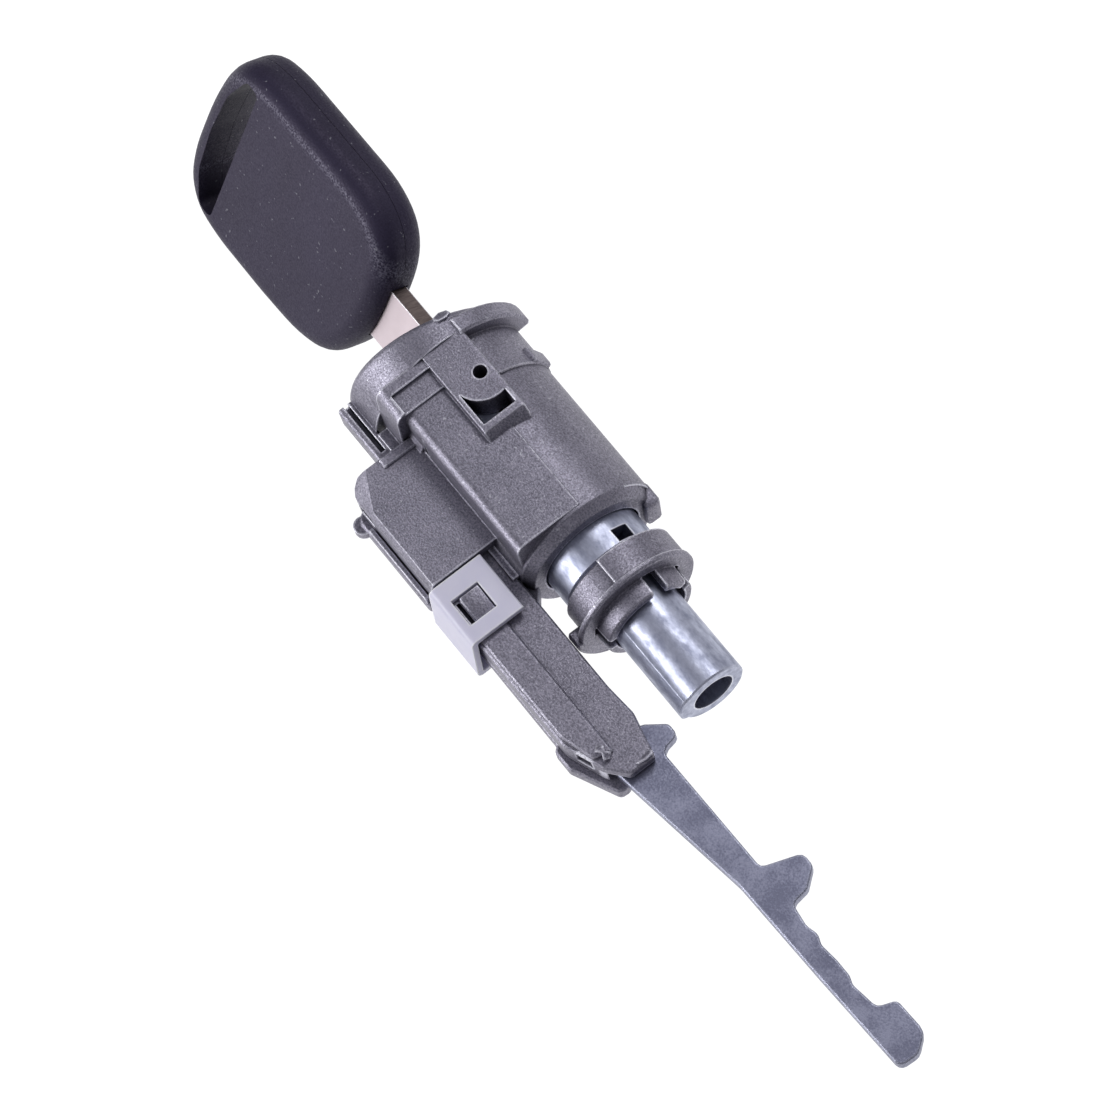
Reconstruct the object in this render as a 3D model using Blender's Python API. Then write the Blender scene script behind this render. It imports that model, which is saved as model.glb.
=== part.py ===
"""Ignition lock cylinder with its key in place and the long steering-lock lever.

Frame: +X runs along the lock's axis from the key to the tail, +Z is square to the flat lever, and the
lever box lies on the -Y side. The origin is on the axis, in the plane of the ear flange's rear face,
which is the face that seats in the steering column housing.
"""

import math

import bmesh
import bpy
from mathutils import Matrix, Vector

MM = 0.001

# General fits
GAP = 0.3 * MM                 # between pieces that touch
SLIDE_GAP = 0.2 * MM           # each side of a wafer in its slot
OVERRUN = 1.0 * MM             # how far a cutter runs past what it cuts
SINK = 0.6 * MM                # how far a joined shape reaches into its carrier

# Key blade
BLADE_WIDTH = 10.0 * MM
BLADE_THICK = 2.8 * MM
BLADE_OFFSET = -0.8 * MM       # of the blade's middle from the axis, across its width
BLADE_TIP = 19.4 * MM
BLADE_CUT_DEPTH = 1.3 * MM
BLADE_ROOT = -40.0 * MM

# Plug and bore
PLUG_WALL = 3.1 * MM           # beyond the blade's edges
PLUG_RADIUS = BLADE_WIDTH / 2 + PLUG_WALL
PLUG_FRONT = -2.4 * MM
PLUG_REAR = 22.0 * MM
PLUG_HEAD_STEP = 1.8 * MM
PLUG_HEAD_RADIUS = PLUG_RADIUS + PLUG_HEAD_STEP
PLUG_HEAD_LENGTH = 1.6 * MM
BORE_RADIUS = PLUG_RADIUS + GAP
FACE_CAP_THICK = 0.5 * MM
TANG_LENGTH = 4.0 * MM
TANG_WIDTH = 4.6 * MM

# Housing barrel
BARREL_WALL = 3.2 * MM
BARREL_RADIUS = BORE_RADIUS + BARREL_WALL
BARREL_END = 32.3 * MM
BEZEL_RADIUS = BARREL_RADIUS + 2.2 * MM
BEZEL_FRONT = -5.3 * MM        # where the slanted front crosses the axis
BEZEL_SLANT = 0.2              # rise of the front along X for each unit of Y
BEZEL_REAR = -0.7 * MM
BEZEL_ROUND = 1.1 * MM
BEZEL_FLAT_START = math.radians(-75)
BEZEL_FLAT_END = math.radians(6)
EAR_RADIUS = BEZEL_RADIUS + 0.6 * MM
EAR_THICK = 3.0 * MM
EAR_START = math.radians(8)
EAR_END = math.radians(75)
NECK_RADIUS = BARREL_RADIUS + 0.5 * MM
NECK_END = 7.6 * MM
REAR_LIP_RADIUS = 10.4 * MM
REAR_LIP_LENGTH = 1.4 * MM
NECK_NUB_ANGLE = math.radians(20)
NECK_NUB_WIDTH = 6.0 * MM
NECK_NUB_START = 4.7 * MM
NECK_NUB_RISE = 0.4 * MM       # above the neck
REAR_LOBE_WIDTH = 6.2 * MM
REAR_LOBE_LENGTH = 2.6 * MM
SIDE_STRIP_RISE = 0.25 * MM    # raised strip along the right of the barrel
SIDE_STRIP_START = math.radians(-8)
SIDE_STRIP_END = math.radians(45)

# Raised pad on the barrel, with its pin hole and arc-topped window
PAD_TOP = BARREL_RADIUS + 1.8 * MM
PAD_LEFT = -3.1 * MM
PAD_RIGHT = 4.2 * MM
PAD_END = 14.6 * MM
PAD_SLOPE = 1.5 * MM
PIN_HOLE_X = 6.5 * MM
PIN_HOLE_Y = 2.2 * MM
PIN_HOLE_RADIUS = 1.1 * MM
WINDOW_ARC_RADIUS = 4.6 * MM
WINDOW_RIM = 1.1 * MM          # pad left between the window and the pad's end
WINDOW_SIDE = 0.8 * MM

# Flat-topped strap left of the pad, with a shallow pocket, and the shoulder that runs on behind it
STRAP_TOP = BARREL_RADIUS + 1.2 * MM
STRAP_LEFT = -BARREL_RADIUS
STRAP_END = 4.4 * MM
STRAP_DRAFT = 0.6 * MM
STRAP_ROUND = 2.0 * MM
POCKET_DEPTH = 0.7 * MM
POCKET_FRONT = 0.9 * MM
POCKET_RIM = 1.6 * MM
SHOULDER_TOP = BARREL_RADIUS + 0.08 * MM
SHOULDER_RIGHT = 1.0 * MM
SHOULDER_LEFT = STRAP_LEFT + 1.3 * MM
SHOULDER_ROUND = 1.6 * MM
SHOULDER_END = 31.5 * MM
SHOULDER_NOTCH_X = 8.3 * MM

# Lever, stamped from sheet
LEVER_THICK = 2.0 * MM
LEVER_Z = -0.6 * MM            # middle of its thickness
PIVOT_X = 31.0 * MM
ARM_RIGHT = 0.2 * MM - BARREL_RADIUS
PIVOT_Y = ARM_RIGHT - 5.2 * MM
PIVOT_PIN_RADIUS = 1.5 * MM
PIN_ROOF = 0.7 * MM            # casting left above the pin
LEVER_EYE_RADIUS = 3.4 * MM
LEVER_SWING = math.radians(3.1)
PLUG_TURN = math.radians(105)
NOSE_X = 20.2 * MM
NOSE_RADIUS = 1.1 * MM
LEVER_TIP_X = 123.4 * MM

# Lever box and arm
BOX_FRONT = 3.8 * MM
BOX_END = 25.3 * MM
BOX_TOP = 5.0 * MM
BOX_LEFT = ARM_RIGHT - 11.1 * MM
BOX_CORNER = 3.4 * MM
BOX_CHAMFER = 0.6 * MM
BOX_CHAMFER_DROP = 1.3 * MM
BOX_RIM = 2.4 * MM
BOX_RIM_RISE = 0.5 * MM
BOX_RIM_LEFT = ARM_RIGHT - 5.1 * MM
BOX_WALL = 1.0 * MM
LEDGE_TOP = 3.0 * MM           # of the small ledge between the strap and the rails
RAIL_FRONT = -7.2 * MM
RAIL_TOP = 2.0 * MM
RAIL_LEFT = ARM_RIGHT - 4.7 * MM
RAIL_RIGHT = RAIL_LEFT + 2.8 * MM
RAIL_RIDGE = 1.0 * MM
RAIL_GROOVE = 0.8 * MM
RAIL_DEPTH = 1.4 * MM
BOTTOM_STEP = 0.05 * MM        # between the undersides of the arm, the box and the rear web
ARM_END = 65.6 * MM
ARM_TOP = 2.6 * MM
ARM_LEFT = ARM_RIGHT - 10.5 * MM
ARM_WALL = 1.3 * MM
RIB_RISE = 0.9 * MM
RIB_RIGHT = ARM_RIGHT - 5.4 * MM
RIB_END = 61.5 * MM
RIB_TIP_Y = -19.9 * MM
RIGHT_WALL_END = 57.5 * MM     # past it the channel is open towards the tail
COVER_THICK = 2.5 * MM
COVER_RIM_THICK = 0.8 * MM
COVER_RIM_TOP = -0.5 * MM
COVER_RIGHT = ARM_RIGHT - 1.0 * MM
COVER_BOSS_RADIUS = 1.5 * MM
COVER_RIM_START = 6.2 * MM      # behind the front of the lever box
COVER_STEP = 2.6 * MM           # behind the barrel, where the cover widens to the arm
COVER_CORNER_X = 60.0 * MM
COVER_CORNER_RISE = 6.7 * MM    # from the arm's left side
PIN_SEAT_DEPTH = 1.4 * MM       # of the lever's pin in the cover
CATCH_X = 31.2 * MM
CATCH_Y = ARM_RIGHT - 7.6 * MM
CATCH_LENGTH = 3.2 * MM
CATCH_WIDTH = 2.6 * MM
CATCH_RISE = 1.1 * MM

# Nylon clip
CLIP_LENGTH = 10.6 * MM
CLIP_WALL = 1.0 * MM
CLIP_RIGHT = ARM_RIGHT - 2.3 * MM
CLIP_WINDOW = 4.8 * MM
CLIP_ROUND = 1.0 * MM

# Rear: journal, tail and cam collar
COLLAR_FRONT = BARREL_END + 6.8 * MM
COLLAR_RADIUS = 8.9 * MM
COLLAR_SECTOR_RADIUS = 9.8 * MM
COLLAR_SECTOR_START = math.radians(-42)
COLLAR_SECTOR_END = math.radians(102)
COLLAR_FLANGE_RADIUS = 10.2 * MM
COLLAR_FLANGE_THICK = 1.2 * MM
COLLAR_FLANGE_REAR = COLLAR_FRONT + 5.6 * MM
COLLAR_LOBE_RADIUS = 11.0 * MM
COLLAR_LOBE_START = math.radians(178)
COLLAR_LOBE_END = math.radians(236)
COLLAR_HUB_RADIUS = 7.6 * MM
COLLAR_REAR = COLLAR_FRONT + 8.6 * MM
TAIL_RADIUS = 5.4 * MM
TAIL_RIB_RISE = 0.5 * MM
TAIL_RIB_START = math.radians(137)
TAIL_RIB_END = math.radians(202)
TAIL_BORE_RADIUS = 3.4 * MM
TAIL_END = COLLAR_FRONT + 23.4 * MM
TAIL_BORE_START = COLLAR_FRONT - 4.5 * MM
JOURNAL_WINDOW_ANGLE = math.radians(61)
JOURNAL_WINDOW_WIDTH = 2.8 * MM
JOURNAL_WINDOW_LENGTH = 2.2 * MM

# Key, turned about the lock's axis with the plug
KEY_TURN = math.radians(58)    # from +Z towards -Y
HEAD_END = -59.2 * MM
HEAD_FRONT = -16.9 * MM
HEAD_HALF_WIDTH = 17.3 * MM
HEAD_HALF_THICK = 4.6 * MM
HEAD_EDGE_ROUND = 3.2 * MM
HEAD_SEAM = 0.1 * MM           # half of the joint line between the halves
RING_SLOT_INNER = -50.2 * MM
RING_SLOT_RIM = 3.2 * MM
RING_SLOT_HALF_LENGTH = 13.4 * MM
CHIP_LENGTH = 11.0 * MM
CHIP_RADIUS = 1.4 * MM

# Wafers and sidebar
WAFER_COUNT = 8
WAFER_FIRST = 1.5 * MM
WAFER_PITCH = 2.3 * MM
WAFER_THICK = 1.1 * MM
WAFER_HALF_LENGTH = PLUG_RADIUS - 0.9 * MM
WAFER_HALF_WIDTH = 2.9 * MM
WAFER_LUG = 2.0 * MM
SPRING_WIRE = 0.16 * MM
SPRING_LENGTH = 3.6 * MM
SPRING_TURNS = 3
SIDEBAR_WIDTH = 1.6 * MM
SIDEBAR_LENGTH = WAFER_PITCH * (WAFER_COUNT - 1) + 1.5 * MM
SIDEBAR_TOP = PLUG_RADIUS - 0.3 * MM
SIDEBAR_NOSE = WAFER_HALF_WIDTH + 1.0 * MM
SIDEBAR_LEAD = 1.6 * MM        # of its groove in front of the first wafer
SHUTTER_THICK = 0.4 * MM
SHUTTER_LENGTH = 3.0 * MM
SHUTTER_PIN_RADIUS = 0.5 * MM

# Roundness of the facets
FINE = 48
MEDIUM = 28
COARSE = 16
ARC_FINENESS = 1.3             # steps for each radian of a corner of 1 mm radius
SHORTEST_EDGE = 0.05 * MM

CAM_RADIUS = PLUG_RADIUS - 1.3 * MM
CAM_LIFT = math.tan(LEVER_SWING) * (PIVOT_X - NOSE_X)
CAM_HALF_LENGTH = NOSE_RADIUS + GAP


# Key frame: u runs across the blade's width, v out of its broad face
KEY_U = Vector((0.0, math.cos(KEY_TURN), math.sin(KEY_TURN)))
KEY_V = Vector((0.0, -math.sin(KEY_TURN), math.cos(KEY_TURN)))
KEY_FRAME = Matrix((
    (1.0, 0.0, 0.0, 0.0),
    (0.0, KEY_U.y, KEY_V.y, 0.0),
    (0.0, KEY_U.z, KEY_V.z, 0.0),
    (0.0, 0.0, 0.0, 1.0),
))


def clear_scene():
    for item in list(bpy.data.objects):
        bpy.data.objects.remove(item, do_unlink=True)


def material(name, colour, roughness, metallic):
    made = bpy.data.materials.new(name)
    made.use_nodes = True
    shader = made.node_tree.nodes["Principled BSDF"]
    shader.inputs["Base Color"].default_value = (*colour, 1.0)
    shader.inputs["Roughness"].default_value = roughness
    shader.inputs["Metallic"].default_value = metallic
    return made


def place(name, mesh, finish, parent=None):
    """Put a finished bmesh into the scene as a named piece."""
    bmesh.ops.recalc_face_normals(mesh, faces=mesh.faces)
    data = bpy.data.meshes.new(name)
    mesh.to_mesh(data)
    mesh.free()
    data.shade_smooth()
    data.set_sharp_from_angle(angle=math.radians(32))
    piece = bpy.data.objects.new(name, data)
    bpy.context.scene.collection.objects.link(piece)
    if finish is not None:
        data.materials.append(material(name, *finish))
    if parent is not None:
        piece.parent = parent
        piece.matrix_parent_inverse = parent.matrix_world.inverted()
    return piece


def guide(name, mesh):
    """A shape that only cuts or joins another piece."""
    shape = place(name, mesh, None)
    shape.hide_render = True
    shape.display_type = "WIRE"
    return shape


def combine(piece, mesh, operation, name, solver):
    modifier = piece.modifiers.new(name, "BOOLEAN")
    modifier.operation = operation
    modifier.solver = solver
    modifier.object = guide(piece.name + "_" + name, mesh)
    return modifier


def cut(piece, mesh, name, solver="EXACT"):
    return combine(piece, mesh, "DIFFERENCE", name, solver)


def join(piece, mesh, name):
    return combine(piece, mesh, "UNION", name, "EXACT")


def joint_axis(name, point):
    """An empty on a joint's axis, which carries the pieces that move with it."""
    empty = bpy.data.objects.new(name, None)
    bpy.context.scene.collection.objects.link(empty)
    empty.location = point
    bpy.context.view_layer.update()
    return empty


def in_key_frame(mesh):
    """Turn a mesh made with X along the lock, Y across the blade and Z out of its face."""
    bmesh.ops.transform(mesh, matrix=KEY_FRAME, verts=mesh.verts)
    return mesh


def lathe(profile, segments, sweep=math.tau, start=0.0):
    """Spin an outline of (x, radius) points about the X axis. An outline that starts and ends on
    the axis gives a solid; any other outline is closed into a ring."""
    mesh = bmesh.new()
    spun = [mesh.verts.new((x, r * math.cos(start), r * math.sin(start))) for x, r in profile]
    edges = [mesh.edges.new(pair) for pair in zip(spun, spun[1:])]
    solid = profile[0][1] == 0.0 and profile[-1][1] == 0.0
    if not solid:
        edges.append(mesh.edges.new((spun[-1], spun[0])))
    if sweep == math.tau:
        bmesh.ops.spin(mesh, geom=spun + edges, cent=(0, 0, 0), axis=(1, 0, 0), angle=sweep,
                       steps=segments, use_merge=True)
    else:
        face = mesh.faces.new(spun)
        steps = max(2, round(segments * sweep / math.tau))
        bmesh.ops.spin(mesh, geom=[face], cent=(0, 0, 0), axis=(1, 0, 0), angle=sweep, steps=steps)
    bmesh.ops.remove_doubles(mesh, verts=mesh.verts, dist=1e-7)
    return mesh


def prism(outline, low, high, axis="Z"):
    """Extrude an outline along an axis. It lies in (x, y), (y, z) or (x, z)."""
    corner = {
        "Z": lambda a, b: (a, b, low),
        "X": lambda a, b: (low, a, b),
        "Y": lambda a, b: (a, low, b),
    }[axis]
    along = {"Z": (0, 0, high - low), "X": (high - low, 0, 0), "Y": (0, high - low, 0)}[axis]
    mesh = bmesh.new()
    face = mesh.faces.new([mesh.verts.new(corner(a, b)) for a, b in outline])
    grown = bmesh.ops.extrude_face_region(mesh, geom=[face])
    moved = [item for item in grown["geom"] if isinstance(item, bmesh.types.BMVert)]
    bmesh.ops.translate(mesh, verts=moved, vec=along)
    bmesh.ops.recalc_face_normals(mesh, faces=mesh.faces)
    return mesh


def block(low, high):
    """A box between two corners."""
    return prism([(low[0], low[1]), (high[0], low[1]), (high[0], high[1]), (low[0], high[1])],
                 low[2], high[2])


def soften(mesh, width, segments=2, sharper_than=math.radians(40)):
    """Round the edges of a cast or moulded shape."""
    sharp = [edge for edge in mesh.edges if edge.calc_face_angle(0.0) > sharper_than]
    bmesh.ops.bevel(mesh, geom=sharp, offset=width, offset_type="OFFSET", segments=segments,
                    profile=0.5, affect="EDGES", material=-1, clamp_overlap=True)
    return mesh


def arc(centre, radius, start, end, steps):
    """Points on a circle, both ends included."""
    return [(centre[0] + radius * math.cos(start + (end - start) * i / steps),
             centre[1] + radius * math.sin(start + (end - start) * i / steps))
            for i in range(steps + 1)]


def rounded(outline):
    """Replace each corner (x, y, radius) of a closed outline by an arc that touches both sides."""
    points = []
    count = len(outline)
    for i, (x, y, radius) in enumerate(outline):
        here = Vector((x, y))
        before = Vector(outline[i - 1][:2]) - here
        after = Vector(outline[(i + 1) % count][:2]) - here
        if radius <= 0.0:
            points.append((x, y))
            continue
        half = before.angle(after) / 2
        reach = min(radius / math.tan(half), before.length * 0.49, after.length * 0.49)
        true_radius = reach * math.tan(half)
        centre = here + (before.normalized() + after.normalized()).normalized() * (
            true_radius / math.sin(half))
        spoke = here + before.normalized() * reach - centre
        turn = math.pi - 2 * half
        steps = max(1, math.ceil(turn * math.sqrt(true_radius / MM) * ARC_FINENESS))
        if before.x * after.y - before.y * after.x > 0:
            turn = -turn
        for k in range(steps + 1):
            a = turn * k / steps
            points.append((centre.x + spoke.x * math.cos(a) - spoke.y * math.sin(a),
                           centre.y + spoke.x * math.sin(a) + spoke.y * math.cos(a)))
    return [p for p, q in zip(points, points[1:] + points[:1]) if math.dist(p, q) > SHORTEST_EDGE]


def inset(outline, distance):
    """Move every side of an outline inwards by the same distance."""
    area = sum(p[0] * q[1] - q[0] * p[1] for p, q in zip(outline, outline[1:] + outline[:1]))
    side = math.copysign(1.0, area)
    points = []
    for i, point in enumerate(outline):
        here = Vector(point)
        along = (here - Vector(outline[i - 1])).normalized()
        ahead = (Vector(outline[(i + 1) % len(outline)]) - here).normalized()
        inward = Vector((-along.y - ahead.y, along.x + ahead.x)).normalized() * side
        stretch = inward.dot(Vector((-along.y, along.x))) * side
        points.append(tuple(here + inward * distance / stretch))
    return points


def layered(outline, levels):
    """A solid whose section is the outline, moved in by a distance at each (height, distance)."""
    mesh = bmesh.new()
    rings = [[mesh.verts.new((x, y, z)) for x, y in inset(outline, distance)] for z, distance in levels]
    for low, high in zip(rings, rings[1:]):
        for k, corner in enumerate(low):
            mesh.faces.new((low[k - 1], corner, high[k], high[k - 1]))
    mesh.faces.new(rings[0])
    mesh.faces.new(rings[-1])
    bmesh.ops.recalc_face_normals(mesh, faces=mesh.faces)
    return mesh


def plate(outline, low, high, edge):
    """A flat solid with both of its outer edges bevelled."""
    return layered(outline, [(low, edge), (low + edge, 0.0), (high - edge, 0.0), (high, edge)])


def crowned(outline, low, high, edge, steps):
    """A flat solid with a sharp lower edge and a rounded upper one."""
    levels = [(low, 0.0)]
    for k in range(steps + 1):
        a = math.pi / 2 * k / steps
        levels.append((high - edge + edge * math.sin(a), edge - edge * math.cos(a)))
    return layered(outline, levels)


def trim(mesh, point, normal):
    """Cut a mesh off at a plane, on the side that the normal points to, and close it again."""
    geometry = list(mesh.verts) + list(mesh.edges) + list(mesh.faces)
    bmesh.ops.bisect_plane(mesh, geom=geometry, plane_co=point, plane_no=normal, clear_outer=True)
    bmesh.ops.holes_fill(mesh, edges=[e for e in mesh.edges if e.is_boundary])
    return mesh


def pipe(path, radius, sides):
    """A round wire along a list of points, with flat ends."""
    mesh = bmesh.new()
    rings = []
    for i, point in enumerate(path):
        ahead = path[min(i + 1, len(path) - 1)] - path[max(i - 1, 0)]
        turn = Vector((0, 0, 1)).rotation_difference(ahead.normalized())
        rings.append([mesh.verts.new(point + turn @ Vector((radius * math.cos(math.tau * k / sides),
                                                            radius * math.sin(math.tau * k / sides), 0)))
                      for k in range(sides)])
    for low, high in zip(rings, rings[1:]):
        for k in range(sides):
            mesh.faces.new((low[k], low[(k + 1) % sides], high[(k + 1) % sides], high[k]))
    mesh.faces.new(list(reversed(rings[0])))
    mesh.faces.new(rings[-1])
    return mesh


def coil(radius, wire, length, turns, per_turn=5, sides=3):
    """A compression spring that stands on z = 0, its axis along Z."""
    rise = length - 2 * wire
    count = turns * per_turn
    path = [Vector((radius * math.cos(math.tau * i / per_turn), radius * math.sin(math.tau * i / per_turn),
                    wire + rise * i / count)) for i in range(count + 1)]
    return pipe(path, wire, sides)


def moved(mesh, matrix):
    bmesh.ops.transform(mesh, matrix=matrix, verts=mesh.verts)
    return mesh


def cylinder(centre, radius, low, high, axis="Z", segments=COARSE):
    """A round bar or a round cutter: `centre` is where it crosses the plane square to its axis."""
    ring = arc(centre, radius, 0.0, math.tau, segments)[:-1]
    return prism(ring, low, high, axis)


# Finishes: colour, roughness, metallic
CAST_ZINC = ((0.21, 0.21, 0.24), 0.48, 0.85)
BRIGHT_ZINC = ((0.32, 0.34, 0.40), 0.25, 1.0)
PLATED_STEEL = ((0.26, 0.27, 0.33), 0.28, 1.0)
SPRING_STEEL = ((0.45, 0.45, 0.47), 0.3, 1.0)
NICKEL = ((0.55, 0.48, 0.49), 0.22, 1.0)
BRASS = ((0.62, 0.47, 0.20), 0.35, 1.0)
NYLON = ((0.68, 0.66, 0.78), 0.45, 0.0)
BLACK_PLASTIC = ((0.022, 0.021, 0.027), 0.5, 0.0)
CHIP_GLASS = ((0.10, 0.10, 0.11), 0.2, 0.0)


def bezel():
    """Front ring with a slanted, rounded face."""
    mesh = cylinder((0.0, 0.0), BEZEL_RADIUS, BEZEL_FRONT, BEZEL_REAR, "X", FINE)
    front = [v for v in mesh.verts if abs(v.co.x - BEZEL_FRONT) < 1e-7]
    for vert in front:
        vert.co.x += BEZEL_SLANT * vert.co.y
    rim = [e for e in mesh.edges if all(v in front for v in e.verts)]
    bmesh.ops.bevel(mesh, geom=rim, offset=BEZEL_ROUND, offset_type="OFFSET", segments=3,
                    profile=0.5, affect="EDGES", material=-1)
    return mesh


def barrel():
    """Neck, body and rear lip of the housing as one turned form."""
    edge = 0.3 * MM
    profile = [
        (BEZEL_REAR - SINK, 0.0),
        (BEZEL_REAR - SINK, NECK_RADIUS),
        (NECK_END - edge / 2, NECK_RADIUS),
        (NECK_END, NECK_RADIUS - edge / 2),
        (NECK_END, BARREL_RADIUS),
        (BARREL_END - edge, BARREL_RADIUS),
        (BARREL_END, BARREL_RADIUS - edge),
        (BARREL_END + REAR_LIP_LENGTH - edge, REAR_LIP_RADIUS + edge),
        (BARREL_END + REAR_LIP_LENGTH, REAR_LIP_RADIUS),
        (BARREL_END + REAR_LIP_LENGTH, 0.0),
    ]
    return lathe(profile, FINE)


def ear_flange():
    """Flange sector whose rear face, at x = 0, seats in the column."""
    inner = NECK_RADIUS - SINK
    edge = 0.35 * MM
    profile = [
        (-EAR_THICK, inner),
        (-EAR_THICK, EAR_RADIUS - edge),
        (-EAR_THICK + edge, EAR_RADIUS),
        (-edge, EAR_RADIUS),
        (0.0, EAR_RADIUS - edge),
        (0.0, inner),
    ]
    return lathe(profile, FINE, EAR_END - EAR_START, EAR_START)


def pad():
    """Raised flat pad with a sloped rear end."""
    end = PAD_END + PAD_SLOPE
    outline = rounded([
        (-EAR_THICK + SINK, PAD_LEFT, 0),
        (end, PAD_LEFT, 0.6 * MM),
        (end, PAD_RIGHT, 0.6 * MM),
        (-EAR_THICK + SINK, PAD_RIGHT, 0),
    ])
    mesh = crowned(outline, BARREL_RADIUS - 2.4 * MM, PAD_TOP, 0.35 * MM, 2)
    return trim(mesh, (PAD_END, 0.0, PAD_TOP), (PAD_TOP - BARREL_RADIUS + 0.5 * MM, 0.0, PAD_SLOPE))


def pad_window():
    """Window whose front edge is an arc about the pin hole."""
    left = PAD_LEFT + WINDOW_SIDE
    right = PAD_RIGHT - WINDOW_SIDE
    end = PAD_END - WINDOW_RIM
    first = -math.asin((PIN_HOLE_Y - left) / WINDOW_ARC_RADIUS)
    last = math.asin((right - PIN_HOLE_Y) / WINDOW_ARC_RADIUS)
    outline = arc((PIN_HOLE_X, PIN_HOLE_Y), WINDOW_ARC_RADIUS, first, last, 8)
    outline += [(end, right), (end, left)]
    return prism(outline, BORE_RADIUS - OVERRUN, PAD_TOP + OVERRUN)


def strap():
    """Flat-topped band beside the pad, with a rounded corner and a sloped left side."""
    outline = rounded([
        (PAD_LEFT + SINK, STRAP_TOP, 0),
        (STRAP_LEFT, STRAP_TOP, STRAP_ROUND),
        (STRAP_LEFT - STRAP_DRAFT, LEDGE_TOP - SINK, 0),
        (PAD_LEFT + SINK, LEDGE_TOP - SINK, 0),
    ])
    return prism(outline, BEZEL_REAR - SINK / 2, STRAP_END, "X")


def strap_pocket():
    """Shallow pocket in the strap, open to the rear."""
    return block((POCKET_FRONT, STRAP_LEFT + POCKET_RIM, STRAP_TOP - POCKET_DEPTH),
                 (STRAP_END + OVERRUN, PAD_LEFT + SINK + OVERRUN, STRAP_TOP + OVERRUN))


def shoulder():
    """Flat shoulder behind the strap, with a rounded edge above the lever box."""
    outline = rounded([
        (SHOULDER_RIGHT, SHOULDER_TOP, 0),
        (SHOULDER_LEFT, SHOULDER_TOP, SHOULDER_ROUND),
        (SHOULDER_LEFT, BOX_TOP - SINK, 0),
        (SHOULDER_RIGHT, BOX_TOP - SINK, 0),
    ])
    return prism(outline, STRAP_END - SINK, SHOULDER_END, "X")


def box_shell():
    """Outer form of the lever box, before it is hollowed: chamfered along its left side and front,
    with a slanted facet across the front left corner."""
    right = SHOULDER_LEFT + 2 * SINK
    outline = rounded([
        (BOX_FRONT, right, 0),
        (BOX_FRONT, BOX_LEFT, BOX_CORNER),
        (BOX_END + 2 * BOX_CHAMFER, BOX_LEFT, 0),
        (BOX_END + 2 * BOX_CHAMFER, right, 0),
    ])
    mesh = layered(outline, [(split_z() + BOTTOM_STEP, 0.0), (BOX_TOP - BOX_CHAMFER_DROP, 0.0),
                             (BOX_TOP, BOX_CHAMFER)])
    trim(mesh, (BOX_END, 0, 0), (1, 0, 0))
    start = Vector((BOX_FRONT + BOX_CORNER / 3, BOX_LEFT + BOX_CORNER, BOX_TOP))
    end = Vector((BOX_FRONT + 2 * BOX_CORNER, BOX_LEFT + BOX_CHAMFER, BOX_TOP))
    outward = Vector((end.y - start.y, start.x - end.x, 0.0)).normalized()
    return trim(mesh, start, outward + Vector((0, 0, 1.1)))


def split_z():
    """Plane where the housing meets the cover, just under the lever."""
    return LEVER_Z - LEVER_THICK / 2 - GAP


def arm_outline():
    """Plan of the arm, from inside the box to its end."""
    return rounded([
        (BOX_END - 3.0 * MM, ARM_RIGHT, 0),
        (BOX_END - 3.0 * MM, ARM_LEFT, 0),
        (56.0 * MM, ARM_LEFT, 2.0 * MM),
        (ARM_END - 3.2 * MM, -19.6 * MM, 1.2 * MM),
        (ARM_END, -17.0 * MM, 0.5 * MM),
        (ARM_END, -12.6 * MM, 0.5 * MM),
        (58.4 * MM, -11.0 * MM, 1.5 * MM),
        (53.0 * MM, ARM_RIGHT, 1.0 * MM),
    ])


def rib_outline():
    return rounded([
        (BOX_END - 3.0 * MM, RIB_RIGHT, 0),
        (BOX_END - 3.0 * MM, ARM_LEFT + 0.4 * MM, 0),
        (55.0 * MM, ARM_LEFT + 0.4 * MM, 1.5 * MM),
        (RIB_END - 1.0 * MM, RIB_TIP_Y, 1.0 * MM),
        (RIB_END, RIB_RIGHT, 0.3 * MM),
    ])


def channel_outline():
    """Plan of the space in the arm that the lever lies in."""
    return [
        (BOX_END - 4.0 * MM, ARM_RIGHT - ARM_WALL),
        (BOX_END - 4.0 * MM, ARM_LEFT + ARM_WALL),
        (55.0 * MM, ARM_LEFT + ARM_WALL),
        (ARM_END + OVERRUN, ARM_RIGHT - 7.2 * MM),
        (ARM_END + OVERRUN, ARM_RIGHT + 2 * OVERRUN),
        (RIGHT_WALL_END, ARM_RIGHT + 2 * OVERRUN),
        (RIGHT_WALL_END, ARM_RIGHT - ARM_WALL),
    ]


def chamber_outline():
    """Plan of the hollow in the lever box."""
    return rounded([
        (BOX_FRONT + BOX_WALL, ARM_RIGHT - 1.2 * MM, 0.8 * MM),
        (BOX_FRONT + BOX_WALL, BOX_LEFT + BOX_WALL + 3.2 * MM, 1.0 * MM),
        (BOX_FRONT + BOX_WALL + 5.0 * MM, BOX_LEFT + BOX_WALL, 2.0 * MM),
        (BOX_END - BOX_WALL, BOX_LEFT + BOX_WALL, 0.5 * MM),
        (BOX_END - BOX_WALL, ARM_RIGHT - 1.2 * MM, 0.5 * MM),
    ])


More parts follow.
